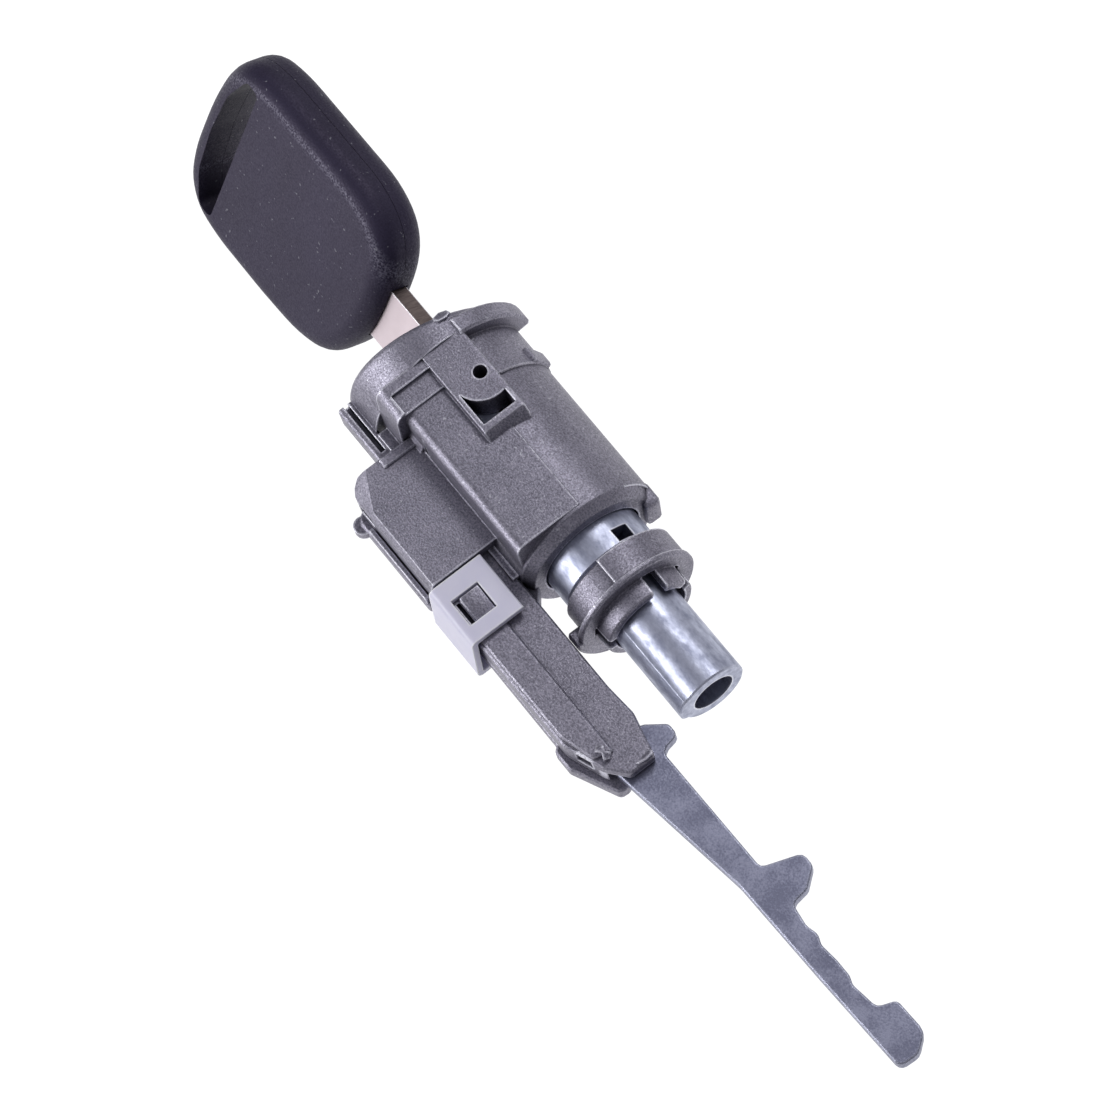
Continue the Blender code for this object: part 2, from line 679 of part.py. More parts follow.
def make_housing():
    """Die-cast housing: bezel, flange, barrel, lever box and arm in one casting."""
    piece = place("lock_housing", barrel(), CAST_ZINC)
    join(piece, bezel(), "bezel")
    near = BEZEL_FRONT - BEZEL_SLANT * BEZEL_RADIUS - OVERRUN
    flat = ring_sector(NECK_RADIUS + 0.06 * MM, BEZEL_RADIUS + OVERRUN, near, BEZEL_REAR + OVERRUN,
                       BEZEL_FLAT_START, BEZEL_FLAT_END)
    cut(piece, flat, "bezel_flat")
    join(piece, ear_flange(), "ear")
    join(piece, strap(), "strap")
    cut(piece, strap_pocket(), "strap_pocket")
    join(piece, pad(), "pad")

    join(piece, shoulder(), "shoulder")
    strip = ring_sector(BARREL_RADIUS - SINK, BARREL_RADIUS + SIDE_STRIP_RISE, NECK_END - SINK,
                        BARREL_END - 0.1 * MM, SIDE_STRIP_START, SIDE_STRIP_END)
    join(piece, strip, "side_strip")
    nub = soften(block((NECK_NUB_START, BARREL_RADIUS - 1.8 * MM, -NECK_NUB_WIDTH / 2),
                       (NECK_END - 0.1 * MM, NECK_RADIUS + NECK_NUB_RISE, NECK_NUB_WIDTH / 2)), 0.5 * MM)
    join(piece, moved(nub, Matrix.Rotation(NECK_NUB_ANGLE, 4, "X")), "neck_nub")
    lobe = soften(block((BARREL_END - 1.5 * MM, REAR_LIP_RADIUS - 1.3 * MM, -REAR_LOBE_WIDTH / 2),
                        (BARREL_END + REAR_LOBE_LENGTH, BARREL_RADIUS + 0.2 * MM, REAR_LOBE_WIDTH / 2)),
                  0.7 * MM)
    join(piece, moved(lobe, Matrix.Rotation(math.radians(-4), 4, "X")), "rear_lobe")

    join(piece, box_shell(), "box")
    rim = soften(block((BOX_FRONT + 0.7 * MM, BOX_RIM_LEFT, BOX_TOP - SINK),
                       (BOX_FRONT + BOX_RIM, SHOULDER_LEFT + SINK, BOX_TOP + BOX_RIM_RISE)),
                 0.2 * MM, 1)
    join(piece, rim, "box_rim")
    join(piece, crowned(arm_outline(), split_z(), ARM_TOP, 0.3 * MM, 1), "arm")
    join(piece, crowned(rib_outline(), ARM_TOP - SINK, ARM_TOP + RIB_RISE, 0.3 * MM, 1), "rib")
    lip = block((BOX_END - SINK, ARM_RIGHT - 0.9 * MM, ARM_TOP - SINK),
                (BOX_END + 6.0 * MM, ARM_RIGHT, ARM_TOP + 0.6 * MM))
    join(piece, lip, "side_lip")
    rails = block((RAIL_FRONT, RAIL_LEFT, -3.0 * MM), (BOX_FRONT + SINK, RAIL_RIGHT, RAIL_TOP))
    join(piece, soften(rails, 0.3 * MM, 1), "rails")
    ledge = block((0.2 * MM, RAIL_RIGHT - SINK, 0.3 * MM), (BOX_FRONT + SINK, ARM_RIGHT + SINK, LEDGE_TOP))
    join(piece, ledge, "ledge")
    web = prism([(BARREL_END - 4.0 * MM, ARM_RIGHT + 2.4 * MM), (BARREL_END - 4.0 * MM, ARM_RIGHT - SINK),
                 (BARREL_END + 4.4 * MM, ARM_RIGHT - SINK), (BARREL_END + 1.0 * MM, ARM_RIGHT + 2.0 * MM)],
                split_z() + 2 * BOTTOM_STEP, 0.6 * MM)
    join(piece, web, "rear_web")
    catch = prism([(CATCH_X - CATCH_LENGTH / 2, ARM_TOP + RIB_RISE - SINK),
                   (CATCH_X - CATCH_LENGTH / 2, ARM_TOP + RIB_RISE + CATCH_RISE),
                   (CATCH_X + CATCH_LENGTH / 2, ARM_TOP + RIB_RISE + 0.3 * MM),
                   (CATCH_X + CATCH_LENGTH / 2, ARM_TOP + RIB_RISE - SINK)],
                  CATCH_Y - CATCH_WIDTH / 2, CATCH_Y + CATCH_WIDTH / 2, "Y")
    join(piece, catch, "clip_catch")

    # Bores and hollows
    far = BARREL_END + REAR_LIP_LENGTH + OVERRUN
    seat = PLUG_FRONT + PLUG_HEAD_LENGTH + GAP
    head_bore = PLUG_HEAD_RADIUS + GAP
    bore = [(near, 0.0), (near, head_bore), (seat, head_bore), (seat, BORE_RADIUS), (far, BORE_RADIUS),
            (far, 0.0)]
    cut(piece, cylinder((PIN_HOLE_X, PIN_HOLE_Y), PIN_HOLE_RADIUS, BORE_RADIUS - 2 * OVERRUN,
                        PAD_TOP + OVERRUN), "pin_hole")
    cut(piece, pad_window(), "pad_window")
    cut(piece, lathe(bore, FINE), "bore")
    cut(piece, prism(chamber_outline(), split_z() - OVERRUN, BOX_TOP - BOX_WALL), "chamber")
    cut(piece, prism(channel_outline(), split_z() - OVERRUN, ARM_TOP - 1.7 * MM), "channel")
    cut(piece, block((NOSE_X - 2.4 * MM, ARM_RIGHT - 2.6 * MM, split_z() - OVERRUN),
                     (NOSE_X + 2.4 * MM, 1.9 * MM - BORE_RADIUS, LEVER_Z + LEVER_THICK / 2 + GAP)), "nose_window")
    cut(piece, side_notch(), "side_notch")
    notch_foot = BOX_TOP + 0.1 * MM
    wedge = prism([(SHOULDER_NOTCH_X - 0.5 * MM, notch_foot), (SHOULDER_NOTCH_X + 0.6 * MM, notch_foot),
                   (SHOULDER_NOTCH_X + 0.2 * MM, SHOULDER_TOP - 1.2 * MM)],
                  SHOULDER_LEFT - OVERRUN, SHOULDER_LEFT + 0.8 * MM, "Y")
    cut(piece, wedge, "shoulder_notch")
    cut(piece, cylinder((PIVOT_X, PIVOT_Y), PIVOT_PIN_RADIUS + GAP, split_z() - OVERRUN,
                        ARM_TOP - PIN_ROOF), "pivot_hole")
    groove_half = SIDEBAR_WIDTH / 2 + GAP
    groove = block((WAFER_FIRST - SIDEBAR_LEAD, -groove_half, -BORE_RADIUS - 1.0 * MM),
                   (WAFER_FIRST - SIDEBAR_LEAD + SIDEBAR_LENGTH + 2 * GAP, groove_half, -BORE_RADIUS + OVERRUN))
    cut(piece, in_key_frame(groove), "sidebar_groove")
    groove_left = RAIL_LEFT + RAIL_RIDGE
    cut(piece, block((RAIL_FRONT - OVERRUN, groove_left, RAIL_TOP - RAIL_DEPTH),
                     (BOX_FRONT - 1.4 * MM, groove_left + RAIL_GROOVE, RAIL_TOP + OVERRUN)), "rail_groove")
    cut(piece, block((CATCH_X - 2.0 * MM, CATCH_Y - 2.0 * MM, ARM_TOP - 0.6 * MM),
                     (CATCH_X + 2.0 * MM, CATCH_Y - CATCH_WIDTH / 2 - 0.1 * MM, ARM_TOP + 3 * MM)),
        "catch_slot")
    cut(piece, block((RIB_END - 3.6 * MM, ARM_LEFT + 0.3 * MM, -0.4 * MM),
                     (RIB_END - 1.0 * MM, ARM_LEFT + 2.9 * MM, ARM_TOP - 0.4 * MM)), "arm_hole")
    return piece


def side_notch():
    """Opening in the left wall of the box, near its front."""
    return block((BOX_FRONT + 3.4 * MM, BOX_LEFT - OVERRUN, 0.0),
                 (BOX_FRONT + 6.6 * MM, BOX_LEFT + BOX_WALL + OVERRUN, BOX_TOP - 2.2 * MM))


def make_cover():
    """Back cover: plate, left rim and the pointed end past the arm."""
    top = split_z() - GAP
    outline = rounded([
        (BOX_FRONT + 0.6 * MM, COVER_RIGHT, 1.0 * MM),
        (BOX_FRONT + 0.6 * MM, BOX_LEFT + 3.2 * MM, 2.0 * MM),
        (BOX_FRONT + 3.2 * MM, BOX_LEFT - GAP - COVER_RIM_THICK, 1.6 * MM),
        (BOX_END - 0.6 * MM, BOX_LEFT - GAP - COVER_RIM_THICK, 0.8 * MM),
        (BOX_END - 0.1 * MM, ARM_LEFT, 0.4 * MM),
        (53.5 * MM, ARM_LEFT - 0.1 * MM, 0.6 * MM),
        (54.3 * MM, ARM_LEFT - 1.0 * MM, 0.6 * MM),
        (57.6 * MM, ARM_LEFT - 1.0 * MM, 0.8 * MM),
        (ARM_END - 0.4 * MM, ARM_LEFT + 2.5 * MM, 0.8 * MM),
        (ARM_END - 0.2 * MM, ARM_LEFT + 4.3 * MM, 0.8 * MM),
        (COVER_CORNER_X, ARM_LEFT + COVER_CORNER_RISE, 1.0 * MM),
        (57.0 * MM, ARM_RIGHT - 0.2 * MM, 1.0 * MM),
        (BARREL_END + COVER_STEP, ARM_RIGHT - 0.2 * MM, 0.5 * MM),
        (BARREL_END + 1.2 * MM, COVER_RIGHT, 0.5 * MM),
    ])
    piece = place("lever_cover", plate(outline, top - COVER_THICK, top, 0.3 * MM), CAST_ZINC)
    outer = BOX_LEFT - GAP - COVER_RIM_THICK
    rim = block((BOX_FRONT + COVER_RIM_START, outer + 0.1 * MM, top - SINK),
                (BOX_END - 1.2 * MM, BOX_LEFT - GAP, COVER_RIM_TOP))
    join(piece, rim, "rim")
    boss = cylinder((BOX_FRONT + 4.1 * MM, BOX_LEFT - 0.9 * MM), COVER_BOSS_RADIUS, top - COVER_THICK + 0.4 * MM,
                    top - 0.4 * MM)
    join(piece, boss, "front_boss")
    for i in range(3):
        start = BOX_FRONT + (8.0 + 13.0 * i) * MM
        cut(piece, block((start, ARM_RIGHT - 8.6 * MM, top - COVER_THICK - OVERRUN),
                         (start + 9.0 * MM, ARM_RIGHT - 2.4 * MM, top - COVER_THICK + 0.8 * MM)),
            "relief_" + str(i + 1))
    cut(piece, cylinder((PIVOT_X, PIVOT_Y), PIVOT_PIN_RADIUS + GAP, top - PIN_SEAT_DEPTH, top + OVERRUN),
        "pin_seat")
    return piece


def make_clip():
    """White nylon clip: a C round arm and cover, with a window over the cast catch."""
    low = split_z() - GAP - COVER_THICK - GAP
    high = ARM_TOP + RIB_RISE + GAP
    left = ARM_LEFT - GAP
    outer_left = left - CLIP_WALL
    outer = [
        (CLIP_RIGHT, high + CLIP_WALL, 0.3 * MM),
        (outer_left, high + CLIP_WALL, CLIP_ROUND),
        (outer_left, low - CLIP_WALL, CLIP_ROUND),
        (CLIP_RIGHT, low - CLIP_WALL, 0.3 * MM),
        (CLIP_RIGHT, low, 0.0),
        (left, low, 0.4 * MM),
        (left, high, 0.4 * MM),
        (CLIP_RIGHT, high, 0.0),
    ]
    start = BOX_END + GAP
    mesh = prism(rounded(outer), start, start + CLIP_LENGTH, "X")
    piece = place("lever_clip", mesh, NYLON)
    half = CLIP_WINDOW / 2
    window = block((CATCH_X - half, CATCH_Y - half, high - 0.4 * MM),
                   (CATCH_X + half, CATCH_Y + half, high + CLIP_WALL + OVERRUN))
    cut(piece, window, "window")
    return piece


def lever_outline():
    """Plan of the stamped lever, from its spring end past both barbs to the hammer head."""
    nose_y = -(CAM_RADIUS + GAP)
    front = [
        (14.2 * MM, -18.6 * MM, 0.8 * MM),
        (14.2 * MM, -14.4 * MM, 1.0 * MM),
        (NOSE_X - 1.6 * MM, -13.8 * MM, 0.8 * MM),
        (NOSE_X - NOSE_RADIUS, nose_y, NOSE_RADIUS * 0.8),
        (NOSE_X + NOSE_RADIUS, nose_y, NOSE_RADIUS * 0.8),
        (NOSE_X + 1.8 * MM, -13.8 * MM, 0.8 * MM),
        (PIVOT_X - 3.0 * MM, PIVOT_Y + LEVER_EYE_RADIUS, 1.5 * MM),
        (PIVOT_X + 4.0 * MM, PIVOT_Y + LEVER_EYE_RADIUS - 0.6 * MM, 2.0 * MM),
    ]
    first_barb = [
        (58.6 * MM, -14.4 * MM, 1.2 * MM),
        (60.0 * MM, -10.7 * MM, 1.0 * MM),
        (62.2 * MM, -7.9 * MM, 0.9 * MM),
        (64.4 * MM, -7.9 * MM, 0.9 * MM),
        (65.0 * MM, -11.1 * MM, 1.2 * MM),
    ]
    second_barb = [
        (87.6 * MM, -10.9 * MM, 1.0 * MM),
        (89.8 * MM, -5.0 * MM, 1.2 * MM),
        (92.2 * MM, -5.0 * MM, 1.2 * MM),
        (94.5 * MM, -7.8 * MM, 0.9 * MM),
        (94.9 * MM, -10.7 * MM, 0.9 * MM),
    ]
    waves = [
        (98.6 * MM, -11.2 * MM, 1.6 * MM),
        (100.6 * MM, -10.7 * MM, 1.0 * MM),
        (102.2 * MM, -11.3 * MM, 0.8 * MM),
        (105.4 * MM, -11.0 * MM, 2.0 * MM),
        (108.2 * MM, -11.0 * MM, 1.0 * MM),
        (109.6 * MM, -11.5 * MM, 0.8 * MM),
    ]
    head = [
        (114.2 * MM, -10.9 * MM, 1.2 * MM),
        (115.3 * MM, -8.1 * MM, 0.9 * MM),
        (121.2 * MM, -7.9 * MM, 2.0 * MM),
        (LEVER_TIP_X, -10.6 * MM, 1.8 * MM),
        (LEVER_TIP_X - 0.2 * MM, -13.9 * MM, 1.2 * MM),
    ]
    back = [
        (106.0 * MM, -14.5 * MM, 4.0 * MM),
        (88.0 * MM, -14.9 * MM, 6.0 * MM),
        (64.0 * MM, -18.2 * MM, 3.0 * MM),
        (PIVOT_X + 8.0 * MM, PIVOT_Y - LEVER_EYE_RADIUS + 0.6 * MM, 4.0 * MM),
        (PIVOT_X - 3.0 * MM, PIVOT_Y - LEVER_EYE_RADIUS, 2.0 * MM),
        (18.0 * MM, -18.6 * MM, 1.0 * MM),
    ]
    return rounded(front + first_barb + second_barb + waves + head + back)


def make_lever(parent):
    low = LEVER_Z - LEVER_THICK / 2
    mesh = plate(lever_outline(), low, low + LEVER_THICK, 0.2 * MM)
    piece = place("lock_lever", mesh, PLATED_STEEL, parent)
    cut(piece, cylinder((PIVOT_X, PIVOT_Y), PIVOT_PIN_RADIUS + 0.05 * MM, low - OVERRUN,
                        low + LEVER_THICK + OVERRUN, "Z", 32), "eye")
    return piece


def make_lever_pin():
    low = split_z() - PIN_SEAT_DEPTH
    high = ARM_TOP - PIN_ROOF - GAP
    return place("lever_pivot_pin", soften(cylinder((PIVOT_X, PIVOT_Y), PIVOT_PIN_RADIUS, low, high),
                                           0.25 * MM, 1), SPRING_STEEL)


def make_lever_spring():
    """Coil between the box's left wall and the lever's front end."""
    wall = BOX_LEFT + BOX_WALL
    length = -18.6 * MM - wall - 2 * GAP
    mesh = coil(1.2 * MM, 0.22 * MM, length, 4, 8)
    spot = Matrix.Translation((15.8 * MM, wall + GAP, LEVER_Z)) @ Matrix.Rotation(-math.pi / 2, 4, "X")
    return place("lever_return_spring", moved(mesh, spot), SPRING_STEEL)


def wafer_x(index):
    return WAFER_FIRST + WAFER_PITCH * index


def keyway_half():
    return BLADE_WIDTH / 2 + GAP, BLADE_THICK / 2 + GAP


def cam_disc():
    """Ring-shaped cutter that leaves a spiral cam: its radius grows over the plug's turn."""
    steps = 48
    inner = []
    for i in range(steps):
        angle = math.tau * i / steps
        turned = (math.pi - angle) % math.tau
        share = min(turned, PLUG_TURN) / PLUG_TURN
        if turned > math.tau - math.radians(40):
            share = 0.0
        radius = CAM_RADIUS + CAM_LIFT * share
        inner.append((radius * math.cos(angle), radius * math.sin(angle)))
    mesh = bmesh.new()
    low, high = NOSE_X - CAM_HALF_LENGTH, NOSE_X + CAM_HALF_LENGTH
    outer = arc((0.0, 0.0), PLUG_RADIUS + OVERRUN, 0.0, math.tau, steps)[:-1]
    rings = [[mesh.verts.new((x, y, z)) for y, z in ring] for x in (low, high) for ring in (inner, outer)]
    near_in, near_out, far_in, far_out = rings
    for i in range(steps):
        k = (i + 1) % steps
        mesh.faces.new((near_in[i], near_in[k], near_out[k], near_out[i]))
        mesh.faces.new((far_in[i], far_out[i], far_out[k], far_in[k]))
        mesh.faces.new((near_in[i], far_in[i], far_in[k], near_in[k]))
        mesh.faces.new((near_out[i], near_out[k], far_out[k], far_out[i]))
    return mesh


def wafer_slots():
    """All wafer slots as one cutter: a slot through the plug and a side pocket for the spring."""
    mesh = bmesh.new()
    half = WAFER_THICK / 2 + SLIDE_GAP
    width = WAFER_HALF_WIDTH + SLIDE_GAP
    pocket = WAFER_HALF_WIDTH + WAFER_LUG + SLIDE_GAP
    for i in range(WAFER_COUNT):
        outline = [
            (-PLUG_RADIUS - OVERRUN, -width), (PLUG_RADIUS + OVERRUN, -width),
            (PLUG_RADIUS + OVERRUN, width), (SPRING_LENGTH + 1.5 * MM, width),
            (SPRING_LENGTH + 1.5 * MM, pocket), (-1.4 * MM, pocket), (-1.4 * MM, width),
            (-PLUG_RADIUS - OVERRUN, width),
        ]
        slot = prism(outline, wafer_x(i) - half, wafer_x(i) + half, "X")
        data = bpy.data.meshes.new("slot")
        slot.to_mesh(data)
        slot.free()
        mesh.from_mesh(data)
        bpy.data.meshes.remove(data)
    return in_key_frame(mesh)


def make_plug(parent):
    """Turning plug: head, wafer slots, keyway, sidebar groove, spiral cam and rear tang."""
    edge = 0.3 * MM
    seat = PLUG_FRONT + PLUG_HEAD_LENGTH
    profile = [
        (PLUG_FRONT, 0.0), (PLUG_FRONT, PLUG_HEAD_RADIUS - edge), (PLUG_FRONT + edge, PLUG_HEAD_RADIUS),
        (seat, PLUG_HEAD_RADIUS), (seat, PLUG_RADIUS), (PLUG_REAR, PLUG_RADIUS), (PLUG_REAR, 0.0),
    ]
    piece = place("lock_plug", lathe(profile, MEDIUM), BRIGHT_ZINC, parent)
    tang = block((PLUG_REAR - SINK, -PLUG_RADIUS + 1.5 * MM, -TANG_WIDTH / 2),
                 (PLUG_REAR + TANG_LENGTH, PLUG_RADIUS - 1.5 * MM, TANG_WIDTH / 2))
    join(piece, tang, "tang")
    half_u, half_v = keyway_half()
    keyway = block((PLUG_FRONT - OVERRUN, BLADE_OFFSET - half_u, -half_v),
                   (BLADE_TIP + 2 * GAP, BLADE_OFFSET + half_u, half_v))
    cut(piece, in_key_frame(keyway), "keyway")
    cut(piece, wafer_slots(), "wafer_slots")
    first = WAFER_FIRST - SIDEBAR_LEAD
    groove = block((first, -SIDEBAR_WIDTH / 2 - SLIDE_GAP, -PLUG_RADIUS - OVERRUN),
                   (first + SIDEBAR_LENGTH + 2 * GAP, SIDEBAR_WIDTH / 2 + SLIDE_GAP, -SIDEBAR_NOSE + 0.4 * MM))
    cut(piece, in_key_frame(groove), "sidebar_groove")
    cut(piece, cam_disc(), "cam")
    pocket = block((PLUG_FRONT - OVERRUN, BLADE_OFFSET - half_u, half_v - 0.2 * MM),
                   (PLUG_FRONT + SHUTTER_LENGTH + 0.3 * MM, BLADE_OFFSET + half_u, half_v + 2.1 * MM))
    cut(piece, in_key_frame(pocket), "shutter_pocket")
    return piece


def make_face_cap(parent):
    """Pressed cap on the front of the plug, with a slot for the blade."""
    high = PLUG_FRONT - GAP
    mesh = soften(cylinder((0.0, 0.0), PLUG_HEAD_RADIUS - 0.4 * MM, high - FACE_CAP_THICK, high, "X", MEDIUM),
                  0.15 * MM, 1)
    piece = place("plug_face_cap", mesh, PLATED_STEEL, parent)
    half_u, half_v = keyway_half()
    slot = block((high - FACE_CAP_THICK - OVERRUN, BLADE_OFFSET - half_u, -half_v),
                 (high + OVERRUN, BLADE_OFFSET + half_u, half_v))
    cut(piece, in_key_frame(slot), "slot")
    return piece


def make_shutter(parent):
    """Keyway flap, held open beside the blade, and its pin."""
    low = keyway_half()[1]
    start = PLUG_FRONT + 0.3 * MM
    half = BLADE_WIDTH / 2 - 0.4 * MM
    flap = block((start, BLADE_OFFSET - half, low), (start + SHUTTER_LENGTH - 0.6 * MM, BLADE_OFFSET + half,
                                                     low + SHUTTER_THICK))
    place("keyway_shutter", in_key_frame(soften(flap, 0.1 * MM, 1)), PLATED_STEEL, parent)
    pin = cylinder((start + 0.7 * MM, low + SHUTTER_THICK + GAP / 2 + SHUTTER_PIN_RADIUS), SHUTTER_PIN_RADIUS,
                   BLADE_OFFSET - half, BLADE_OFFSET + half, "Y", 12)
    place("shutter_pin", in_key_frame(pin), SPRING_STEEL, parent)


def make_wafers(parent):
    half_u = BLADE_WIDTH / 2 + SLIDE_GAP
    half_v = BLADE_THICK / 2 + SLIDE_GAP
    for i in range(WAFER_COUNT):
        low = wafer_x(i) - WAFER_THICK / 2
        high = low + WAFER_THICK
        outline = [
            (-WAFER_HALF_LENGTH, -WAFER_HALF_WIDTH),
            (-0.5 * MM, -WAFER_HALF_WIDTH), (0.0, -WAFER_HALF_WIDTH + 0.6 * MM), (0.5 * MM, -WAFER_HALF_WIDTH),
            (WAFER_HALF_LENGTH, -WAFER_HALF_WIDTH), (WAFER_HALF_LENGTH, WAFER_HALF_WIDTH),
            (0.5 * MM, WAFER_HALF_WIDTH), (0.5 * MM, WAFER_HALF_WIDTH + WAFER_LUG),
            (-1.1 * MM, WAFER_HALF_WIDTH + WAFER_LUG), (-1.1 * MM, WAFER_HALF_WIDTH),
            (-WAFER_HALF_LENGTH, WAFER_HALF_WIDTH),
        ]
        piece = place("wafer_" + str(i + 1), in_key_frame(prism(outline, low, high, "X")), BRASS, parent)
        hole = block((low - OVERRUN, BLADE_OFFSET - half_u, -half_v), (high + OVERRUN, BLADE_OFFSET + half_u, half_v))
        cut(piece, in_key_frame(hole), "window")
        spot = Matrix.Translation((wafer_x(i), 0.5 * MM + GAP, WAFER_HALF_WIDTH + WAFER_LUG / 2)) \
            @ Matrix.Rotation(-math.pi / 2, 4, "X")
        wire = coil(WAFER_THICK / 2 - SPRING_WIRE, SPRING_WIRE, SPRING_LENGTH, SPRING_TURNS)
        place("wafer_spring_" + str(i + 1), in_key_frame(moved(wire, spot)), SPRING_STEEL, parent)


def make_sidebar(parent):
    """Bar that locks the plug to the housing until the key has lined the wafers up."""
    start = WAFER_FIRST - SIDEBAR_LEAD + GAP
    end = start + SIDEBAR_LENGTH
    ledge = 2.0 * MM
    side = [
        (start, -SIDEBAR_TOP), (end, -SIDEBAR_TOP), (end, -SIDEBAR_TOP + 1.2 * MM),
        (end - ledge, -SIDEBAR_TOP + 1.2 * MM), (end - ledge, -SIDEBAR_NOSE),
        (start + ledge, -SIDEBAR_NOSE), (start + ledge, -SIDEBAR_TOP + 1.2 * MM),
        (start, -SIDEBAR_TOP + 1.2 * MM),
    ]
    half = SIDEBAR_WIDTH / 2
    place("sidebar", in_key_frame(prism(side, -half, half, "Y")), SPRING_STEEL, parent)
    for name, x in (("sidebar_spring_front", start + ledge / 2), ("sidebar_spring_rear", end - ledge / 2)):
        length = SIDEBAR_TOP - 1.2 * MM - SIDEBAR_NOSE + 0.4 * MM - 2 * GAP
        wire = coil(0.5 * MM, SPRING_WIRE, length, 3)
        spot = Matrix.Translation((x, 0.0, -SIDEBAR_TOP + 1.2 * MM + GAP))
        place(name, in_key_frame(moved(wire, spot)), SPRING_STEEL, parent)


def tail_section(radius):
    """Section of the tail: a circle with one broad raised rib."""
    points = []
    count = 48
    for i in range(count):
        angle = math.tau * i / count
        inside = TAIL_RIB_START < angle < TAIL_RIB_END
        reach = radius + TAIL_RIB_RISE if inside else radius
        points.append((reach * math.cos(angle), reach * math.sin(angle)))
    return points


def make_tail(parent):
    """Journal, ribbed tail tube and the socket that the plug's tang drives."""
    edge = 0.35 * MM
    front = PLUG_REAR + GAP
    rear = COLLAR_FRONT - GAP
    journal = [
        (front, 0.0), (front, PLUG_RADIUS), (rear - edge, PLUG_RADIUS), (rear, PLUG_RADIUS - edge),
        (rear, 0.0),
    ]
    piece = place("tail_shaft", lathe(journal, FINE), BRIGHT_ZINC, parent)
    tube = prism(tail_section(TAIL_RADIUS), rear - SINK, TAIL_END, "X")
    ends = [e for e in tube.edges if all(abs(v.co.x - TAIL_END) < 1e-7 for v in e.verts)]
    bmesh.ops.bevel(tube, geom=ends, offset=0.25 * MM, offset_type="OFFSET", segments=1, profile=0.5,
                    affect="EDGES", material=-1)
    join(piece, tube, "tube")
    cut(piece, cylinder((0.0, 0.0), TAIL_BORE_RADIUS, TAIL_BORE_START, TAIL_END + OVERRUN, "X", 28), "bore")
    socket = block((front - OVERRUN, -PLUG_RADIUS + 1.5 * MM - GAP, -TANG_WIDTH / 2 - GAP),
                   (PLUG_REAR + TANG_LENGTH + GAP, PLUG_RADIUS - 1.5 * MM + GAP, TANG_WIDTH / 2 + GAP))
    cut(piece, socket, "socket")
    half = JOURNAL_WINDOW_WIDTH / 2
    window = block((rear - 0.5 * MM - JOURNAL_WINDOW_LENGTH, TAIL_BORE_RADIUS - 0.4 * MM, -half),
                   (rear - 0.5 * MM, PLUG_RADIUS + OVERRUN, half))
    cut(piece, moved(window, Matrix.Rotation(JOURNAL_WINDOW_ANGLE, 4, "X")), "window")
    return piece


def ring_sector(inner, outer, low, high, start, end):
    profile = [(low, inner), (low, outer), (high, outer), (high, inner)]
    return lathe(profile, FINE, end - start, start)


def make_collar(parent):
    """Cast cam collar: ring, raised sector, rear flange with its lobe, and notched hub."""
    inner = TAIL_RADIUS + TAIL_RIB_RISE + GAP
    edge = 0.3 * MM
    flange_front = COLLAR_FLANGE_REAR - COLLAR_FLANGE_THICK
    profile = [
        (COLLAR_FRONT, inner), (COLLAR_FRONT, COLLAR_RADIUS - edge), (COLLAR_FRONT + edge, COLLAR_RADIUS),
        (flange_front, COLLAR_RADIUS), (flange_front + edge, COLLAR_FLANGE_RADIUS),
        (COLLAR_FLANGE_REAR - edge, COLLAR_FLANGE_RADIUS), (COLLAR_FLANGE_REAR, COLLAR_FLANGE_RADIUS - edge),
        (COLLAR_FLANGE_REAR, COLLAR_HUB_RADIUS), (COLLAR_REAR - edge, COLLAR_HUB_RADIUS - 0.1 * MM),
        (COLLAR_REAR, COLLAR_HUB_RADIUS - 0.1 * MM - edge), (COLLAR_REAR, inner),
    ]
    piece = place("cam_collar", lathe(profile, FINE), CAST_ZINC, parent)
    sector = ring_sector(COLLAR_RADIUS - SINK, COLLAR_SECTOR_RADIUS, COLLAR_FRONT + 0.1 * MM,
                         flange_front + 0.2 * MM, COLLAR_SECTOR_START, COLLAR_SECTOR_END)
    join(piece, sector, "sector")
    lobe = ring_sector(COLLAR_RADIUS - SINK, COLLAR_LOBE_RADIUS, flange_front - 1.6 * MM,
                       COLLAR_FLANGE_REAR - 0.1 * MM, COLLAR_LOBE_START, COLLAR_LOBE_END)
    join(piece, soften(lobe, 0.4 * MM, 1), "lobe")
    for i, (angle, width) in enumerate(((68, 2.4), (18, 1.4), (172, 2.2), (262, 2.2))):
        notch = block((COLLAR_FLANGE_REAR - 1.0 * MM, inner - OVERRUN, -width / 2 * MM),
                      (COLLAR_REAR + OVERRUN, COLLAR_HUB_RADIUS + 0.2 * MM, width / 2 * MM))
        cut(piece, moved(notch, Matrix.Rotation(math.radians(angle), 4, "X")), "notch_" + str(i + 1))
    return piece


def blade_outline():
    """Blade in the plane of its broad face, with its cuts where the wafers sit."""
    low = BLADE_OFFSET - BLADE_WIDTH / 2
    high = BLADE_OFFSET + BLADE_WIDTH / 2
    depths = (0.6, 1.0, 0.3, 0.8, 0.5, 1.0, 0.7, 0.4)
    flat = 0.45 * MM
    ramp = 0.65 * MM
    upper = []
    lower = []
    for i, depth in enumerate(depths[:WAFER_COUNT]):
        x = wafer_x(i)
        deep = depth * BLADE_CUT_DEPTH
        upper += [(x - flat - ramp, high), (x - flat, high - deep), (x + flat, high - deep),
                  (x + flat + ramp, high)]
        other = depths[-1 - i] * BLADE_CUT_DEPTH
        lower += [(x - flat - ramp, low), (x - flat, low + other), (x + flat, low + other),
                  (x + flat + ramp, low)]
    tip = [(BLADE_TIP, BLADE_OFFSET + 2.0 * MM), (BLADE_TIP, BLADE_OFFSET - 2.0 * MM)]
    return [(BLADE_ROOT, high)] + upper + tip + list(reversed(lower)) + [(BLADE_ROOT, low)]


